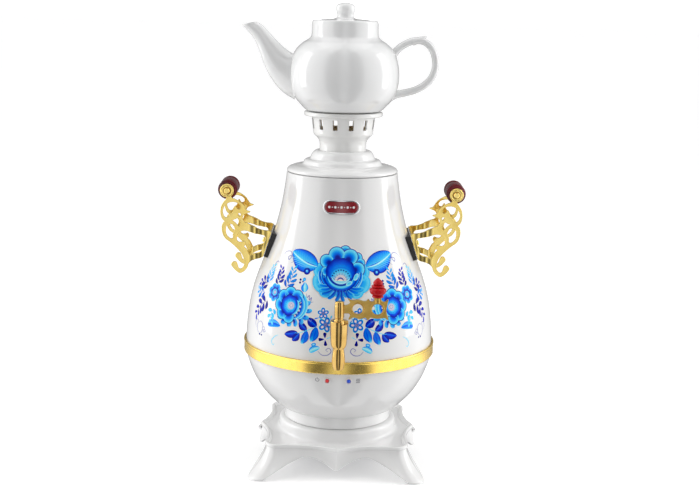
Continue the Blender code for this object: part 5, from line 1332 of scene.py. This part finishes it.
art = Painter(TANK_SKIN)
rose_prims = [(q[0], np.clip(np.asarray(q[1], float), 0.0, 1.0) ** 0.80) + tuple(q[2:]) for q in big_rose()]
art.place(halo(rose_prims[:6] + [q for q in rose_prims if q[0].shape[0] in (8,)], 0.9), 0.2, 233.2)
art.place(rose_prims, 0.2, 233.2)
for s, extra in ((-1.0, 0.0), (1.0, 2.6)):
    def put(prims, phi, z, rot=0.0, scale=1.0, layer=0, ground=True, s=s, extra=extra):
        # motifs are drawn for the left side; the right side is their mirror image
        if ground:
            art.place(halo(prims, 0.7 / scale), s * (phi + extra), z, rot, scale, -s if s > 0 else 1.0, 0)
        art.place(prims, s * (phi + extra), z, rot, scale, -s if s > 0 else 1.0, layer)
    put(big_leaf(), 16.6, 241.4, 158.0, 1.0, 0)
    put(berry(), 24.2, 235.8)
    put(bud(), 24.0, 219.4, 6.0)
    put(sprig([(0, -9.6), (-1.8, 0), (-1.2, 10.4)], 7.6, MID, CYAN, 10, fat=0.17), 55.6, 225.0, -4.0)
    put(sprig([(0, -9.4), (1.6, 0), (0.0, 9.6)], 7.4, NAVY, DEEP, 9, fat=0.22), 46.6, 226.0, 2.0)
    put(sprig([(0, -11.0), (1.6, 0), (-0.8, 11.6)], 8.8, DEEP, SKY, 10, fat=0.19), 36.6, 226.0, -14.0)
    put(sprig([(2.0, 0), (-6.4, 4.0), (-15.0, 3.0)], 8.6, NAVY, DEEP, 7, fat=0.25), 57.6, 213.2, 8.0)
    put(sprig([(2.0, 0), (-7.6, -1.0), (-14.0, 0.4)], 8.4, DEEP, SKY, 6, fat=0.24), 59.0, 205.6, 4.0)
    put(small_flower(), 47.2, 208.6, layer=2)
    put(side_rose(), 32.6, 198.4, 0.0, 1.06, layer=8)
    put(sprig([(7.0, 9.2), (-4.0, 1.6), (-12.6, -11.0)], 9.8, NAVY, DEEP, 9, fat=0.24, spread=60), 56.4, 189.4)
    put(sprig([(3.0, 6.6), (0.0, 0.0), (1.4, -8.6)], 6.6, SKY, CYAN, 7, fat=0.30, spread=62), 46.8, 184.8)
    put([leaf((-10.6, -2.0), (9.4, -0.4), 4.4, [(0, CYAN), (1, MID)], 0, bend=0.10, n=16, m=7,
              split_stops=[(0, ROYAL), (0.5, MID), (1, SKY)])], 43.0, 175.2)
    put(five_petal(), 9.8, 193.8, 4.0, 0.98)
    put([comma((2.2, 0.0), (-3.6, -2.2), 0.9, [(0, SKY), (1, ROYAL)], 0)], 13.0, 189.6, ground=False)
    put(five_petal(), 8.0, 182.0, -18.0, 1.28)
    put([comma((0, 0), (1.6, 4.4), 1.1, [(0, MID), (1, CYAN)], 0), comma((0, 0), (3.0, -4.0), 1.0, [(0, ROYAL), (1, SKY)], 0)],
        5.4, 187.6, ground=False)
    put(trefoil(), 8.0, 166.4, 0.0, 1.12)
    put(leaf_spray(), 12.8, 174.6, 2.0, 1.22)
    put([leaf((-6.6, -3.4), (5.6, 2.4), 3.4, [(0, PALE), (0.5, SKY), (1, MID)], 0, bend=0.08, n=14, m=7,
              split_stops=[(0, PALE), (0.6, CYAN), (1, SKY)]),
         disc((-1.6, 5.0), 3.0, 1.9, [(0, PALE), (0.6, SKY), (1, MID)], 0, rot=18, n=18, rings=5)], 13.9, 154.8)
    put(scroll([(q[0] - 8.0, q[1]) for q in CURL], 0.30), 43.4, 247.6, -6.0, ground=False)
    put(scroll([(0, -5.0), (-2.4, 0.0), (1.0, 4.4), (5.0, 3.0)], 0.30), 54.0, 236.6, ground=False)
    put(scroll([(-4.0, 6.0), (-2.6, 1.4), (-0.6, 4.2), (0.2, -0.6), (2.4, 2.0), (2.2, -3.0), (5.2, -2.4)], 0.32), 19.6, 207.4,
        ground=False)
    put(scroll([(-6.0, 1.8), (-2.4, 0.2), (-3.0, 2.8), (0.6, 0.0), (0.0, 2.4), (4.0, -0.4), (4.4, 2.0)], 0.26), 19.4, 184.6,
        ground=False)
    put(scroll([(-9.0, 0.8), (-4.6, -3.2), (2.0, -2.8), (5.4, 1.2), (3.2, 4.6), (-0.4, 2.6), (2.0, 0.6)], 0.32), 7.2, 152.2,
        ground=False)
    for pts in (LOOPS, LOOPS2, LOOPS3):
        put(scroll([(q[0] - 8.0, q[1] + 2.0) for q in pts], 0.26), 57.4, 167.0, ground=False)
    put([disc((-0.4, -9.6), 1.3, 1.0, [(0, NAVY), (1, NAVY)], 0, n=12, rings=3),
         disc((3.6, -9.6), 1.3, 1.0, [(0, NAVY), (1, NAVY)], 0, n=12, rings=3)], 56.0, 168.4, ground=False)
    put(scroll([(7.0, 6.0), (0.6, 2.0), (-2.4, -3.4), (0.6, -6.6), (2.2, -4.4)], 0.30, CYAN), 42.6, 158.6, ground=False)
art.build("tank_print", PRINT, "samovar")

# pill badge: bezel, enamel and a plain row of flat silver beads just above the enamel
BZ = 304.8
half_len, r_out = 12.8, 6.9


def pill(t, grow):
    """Point on the pill outline, t from 0 to 1, grown outwards."""
    straight = 2 * half_len
    r = r_out + grow
    per = 2 * straight + TAU * r
    d = (t % 1.0) * per
    if d < straight:
        return (-half_len + d, -r)
    d -= straight
    if d < math.pi * r:
        a = -math.pi / 2 + d / r
        return (half_len + r * math.cos(a), r * math.sin(a))
    d -= math.pi * r
    if d < straight:
        return (half_len - d, r)
    d -= straight
    a = math.pi / 2 + d / r
    return (-half_len + r * math.cos(a), r * math.sin(a))


def on_tank(s, dz, off):
    m = TANK_SKIN.arc_of(BZ) + dz
    p, _ = TANK_SKIN.at(np.array(s / 68.0), np.array(m), off)
    return p


verts, faces = [], []
nb = 120
sect = [(-0.9, 0.1), (-1.0, 0.9), (-0.75, 1.5), (-0.2, 1.75), (0.35, 1.6), (0.8, 1.1), (0.95, 0.1)]
for k in range(nb):
    for g, off in sect:
        s, dz = pill(k / nb, g)
        verts.append(on_tank(s, dz, off))
q = len(sect)
for k in range(nb):
    a, b = k * q, ((k + 1) % nb) * q
    for i in range(q):
        j = (i + 1) % q
        faces.append((a + i, a + j, b + j, b + i))
make("badge_rim", verts, faces, CHROME, "samovar", replaces=("badge_bezel",), slot="chrome_bezel", sharp=60.0)
verts, faces = [], []
levels = [(-0.9, 0.2), (-1.0, 0.75), (-1.6, 0.95), (-3.0, 1.05), (-5.0, 1.1), (-6.6, 1.12)]
for g, off in levels:
    for k in range(nb):
        s, dz = pill(k / nb, g)
        verts.append(on_tank(s, dz, off))
for i in range(len(levels) - 1):
    for k in range(nb):
        j = (k + 1) % nb
        faces.append((i * nb + k, i * nb + j, (i + 1) * nb + j, (i + 1) * nb + k))
last = (len(levels) - 1) * nb
for k in range(nb // 2 - 1):                              # close the long slit in the middle
    a, b = last + k, last + k + 1
    c, d = last + nb - 2 - k, last + nb - 1 - k
    faces.append((a, b, c, d) if b != c else (a, b, d))
make("badge_field", verts, faces, PILL, "samovar", replaces=("badge_plate",), slot="dark_red_enamel", sharp=60.0)
vine = Painter(TANK_SKIN, lift=1.25)
SILVER_TINT = lin((240, 236, 238))
prims = []
for k in range(-4, 5):
    r = 1.35 if k % 2 == 0 else 0.6
    prims.append(disc((k * 3.3, 0.0), r, r, [(0, SILVER_TINT), (1, SILVER_TINT * 0.9)], 0, n=20, rings=3))
vine.place(prims, 0.0, BZ)
vine.build("badge_vine", PRINT, "samovar")

signs = Painter(BOWL_SKIN)
GREY = lin((120, 118, 128))
icon = [crescent((0, 0), 2.0, 0.62, 125, 415, [(0, GREY), (1, GREY)], 0, n=28, m=4, power=0.12),
        line([(0, 0.3), (0, 1.6), (0, 2.9)], 0.34, GREY, 0, taper=0.1)]
signs.place(icon, -12.3, 120.5)
cup = [line([(-2.1, -2.5), (0.0, -2.5), (2.1, -2.5)], 0.42, GREY, 0, taper=0.05)]
for x in (-1.5, 0.0, 1.5):
    cup.append(line([(x, -1.5), (x + 0.45, -0.5), (x - 0.35, 0.6), (x + 0.35, 1.7), (x, 2.6)], 0.34, GREY, 0, taper=0.1))
signs.place(cup, 12.0, 120.3)
signs.build("indicator_signs", PRINT, "samovar")

for tag, x, lens, node in (("power", -11.7, LENS_R, "power_led"), ("warm", 11.7, LENS_B, "keep_warm_led")):
    ringp = chain([(2.3, -101.5), (2.6, -101.5)], [(2.6, -101.5), (2.6, -105.0)], [(2.6, -105.0), (3.5, -105.0)],
                  [(3.5, -105.0), (3.6, -106.2), (3.4, -107.0), (2.9, -107.4), (2.4, -107.2)],
                  [(2.4, -107.2), (2.3, -106.6)], step=0.25)
    lathe("led_ring_" + tag, ringp, BEZEL, "samovar", n=48, place=turn_y(x, 120.4), replaces=(node + "_bezel",),
          slot="pale_bezel")
    dome = chain([(0.0, -99.0), (1.95, -99.0)], [(1.95, -99.0), (1.95, -106.4)],
                 [(1.95, -106.4), (1.8, -107.4), (1.3, -108.0), (0.6, -108.3), (0.0, -108.35)], step=0.3)
    lathe("led_lens_" + tag, dome, lens, "samovar", n=36, place=turn_y(x, 120.4), replaces=(node,),
          slot="red_lens" if tag == "power" else "blue_lens")

# ------------------------------------------------------------------ CAD nodes that stay, with better surfaces
KEEP = {
    "heater_plate": STEEL, "heating_element": STEEL, "bottom_cover": STEEL, "crown_nut": STEEL, "heater_seal": SILICONE, "lid_seal": SILICONE,
    "thermostat": INSUL, "control_board": BOARD, "inlet_housing": PLASTIC, "switch_frame": PLASTIC,
    "switch_rocker": PLASTIC, "inlet_pin_line": BRASS, "inlet_pin_neutral": BRASS, "inlet_pin_earth": BRASS,
    "tap_nut": BRASS, "tap_gasket": RUBBER, "handle_pad_left": INSUL, "handle_pad_right": INSUL,
    "grip_rod_left": GOLD, "grip_rod_right": GOLD,
}
for x in ("left", "right"):
    for y in ("front", "rear"):
        KEEP["foot_pad_%s_%s" % (y, x)] = RUBBER
        KEEP["cover_screw_%s_%s" % (y, x)] = STEEL
for name, mat in KEEP.items():
    obj = frame["nodes"][name]
    obj.data.materials.clear()
    obj.data.materials.append(mat)
    weld = obj.modifiers.new("weld", "WELD")
    weld.merge_threshold = 1e-6
    bevel = obj.modifiers.new("edge", "BEVEL")
    bevel.width = 0.00035
    bevel.segments = 2
    bevel.limit_method = "ANGLE"
    bevel.angle_limit = math.radians(40)
    bevel.use_clamp_overlap = True
    bevel.harden_normals = False

# ------------------------------------------------------------------ floor, light, camera
bpy.ops.mesh.primitive_grid_add(x_subdivisions=2, y_subdivisions=2, size=120.0, location=(0.0, 40.0, -0.0002))
floor = bpy.context.object
floor.name = "floor"
fmat, fb = base_material("floor_pale", (0.94, 0.94, 0.94), 0.9)
fb.inputs["Emission Color"].default_value = (1.0, 1.0, 1.0, 1.0)
fb.inputs["Emission Strength"].default_value = 0.16
floor.data.materials.append(fmat)
floor.visible_diffuse = False
floor.visible_glossy = False

world = bpy.data.worlds.new("studio")
bpy.context.scene.world = world
world.use_nodes = True
wn, wl = world.node_tree.nodes, world.node_tree.links
wn.clear()
out = wn.new("ShaderNodeOutputWorld")
bg = wn.new("ShaderNodeBackground")
geo = wn.new("ShaderNodeTexCoord")
sep = wn.new("ShaderNodeSeparateXYZ")
wl.new(geo.outputs["Generated"], sep.inputs["Vector"])
ang = wn.new("ShaderNodeMath"); ang.operation = "ARCTAN2"
absx = wn.new("ShaderNodeMath"); absx.operation = "ABSOLUTE"
wl.new(sep.outputs["X"], absx.inputs[0])
neg = wn.new("ShaderNodeMath"); neg.operation = "MULTIPLY"; neg.inputs[1].default_value = -1.0
wl.new(sep.outputs["Y"], neg.inputs[0])
wl.new(absx.outputs[0], ang.inputs[0])
wl.new(neg.outputs[0], ang.inputs[1])           # 0 behind the camera, pi beyond the object
norm = wn.new("ShaderNodeMath"); norm.operation = "DIVIDE"; norm.inputs[1].default_value = math.pi
wl.new(ang.outputs[0], norm.inputs[0])
band_ramp = wn.new("ShaderNodeValToRGB")
band_ramp.color_ramp.interpolation = "B_SPLINE"
els = band_ramp.color_ramp.elements
els[0].position, els[0].color = 0.0, (0.68, 0.68, 0.685, 1)
els[1].position, els[1].color = 1.0, (0.16, 0.16, 0.16, 1)
for pos, v in ((0.040, 0.54), (0.085, 0.05), (0.20, 0.01), (0.26, 1.00), (0.32, 3.9), (0.47, 3.9), (0.57, 2.0),
               (0.66, 0.70), (0.78, 0.42), (0.90, 0.22)):
    e = els.new(pos)
    e.color = (v, v, v * 1.005, 1)
wl.new(norm.outputs[0], band_ramp.inputs["Fac"])
lp = wn.new("ShaderNodeLightPath")
mix = wn.new("ShaderNodeMix"); mix.data_type = "RGBA"
wl.new(lp.outputs["Is Camera Ray"], mix.inputs["Factor"])
wl.new(band_ramp.outputs["Color"], mix.inputs["A"])
mix.inputs["B"].default_value = (1.0, 1.0, 1.0, 1.0)
wl.new(mix.outputs["Result"], bg.inputs["Color"])
bg.inputs["Strength"].default_value = 1.5
wl.new(bg.outputs["Background"], out.inputs["Surface"])


def area(name, loc, target, size, size_y, power, color=(1, 1, 1)):
    light = bpy.data.lights.new(name, "AREA")
    light.shape = "RECTANGLE"
    light.size, light.size_y = size, size_y
    light.energy = power
    light.color = color
    obj = bpy.data.objects.new(name, light)
    bpy.context.scene.collection.objects.link(obj)
    obj.location = loc
    obj.rotation_euler = (Vector(target) - Vector(loc)).to_track_quat("-Z", "Y").to_euler()
    return obj


area("softbox_left", (-1.25, 0.10 + AY, 0.62), (0, AY, 0.28), 0.4, 1.3, 4.4)
area("softbox_right", (1.25, 0.10 + AY, 0.62), (0, AY, 0.28), 0.4, 1.3, 4.4)
area("softbox_top", (0.0, 0.5 + AY, 1.7), (0, 0.1 + AY, 0.2), 1.4, 0.8, 2.7)

# camera: 1.4 m in front of the samovar's axis, 514 mm high, looking 10.5 degrees down
cam_data = bpy.data.cameras.new("camera")
cam = bpy.data.objects.new("camera", cam_data)
bpy.context.scene.collection.objects.link(cam)
cam.location = (0.0, AY - 1.400, 0.514)
cam.rotation_mode = "XYZ"
cam.rotation_euler = (Matrix.Rotation(math.radians(90.0 - 10.54), 3, "X")
                      @ Matrix.Rotation(math.radians(1.2), 3, "Z")).to_euler()
cam_data.sensor_width = 36.0
cam_data.lens = 1238.5 * 36.0 / 700.0
cam_data.shift_x = 9.2 / 700.0
cam_data.clip_start = 0.05
cam_data.clip_end = 60.0
bpy.context.scene.camera = cam
bpy.context.scene.view_settings.view_transform = "Standard"
bpy.context.scene.view_settings.look = "None"
bpy.context.scene.view_settings.exposure = 0.0
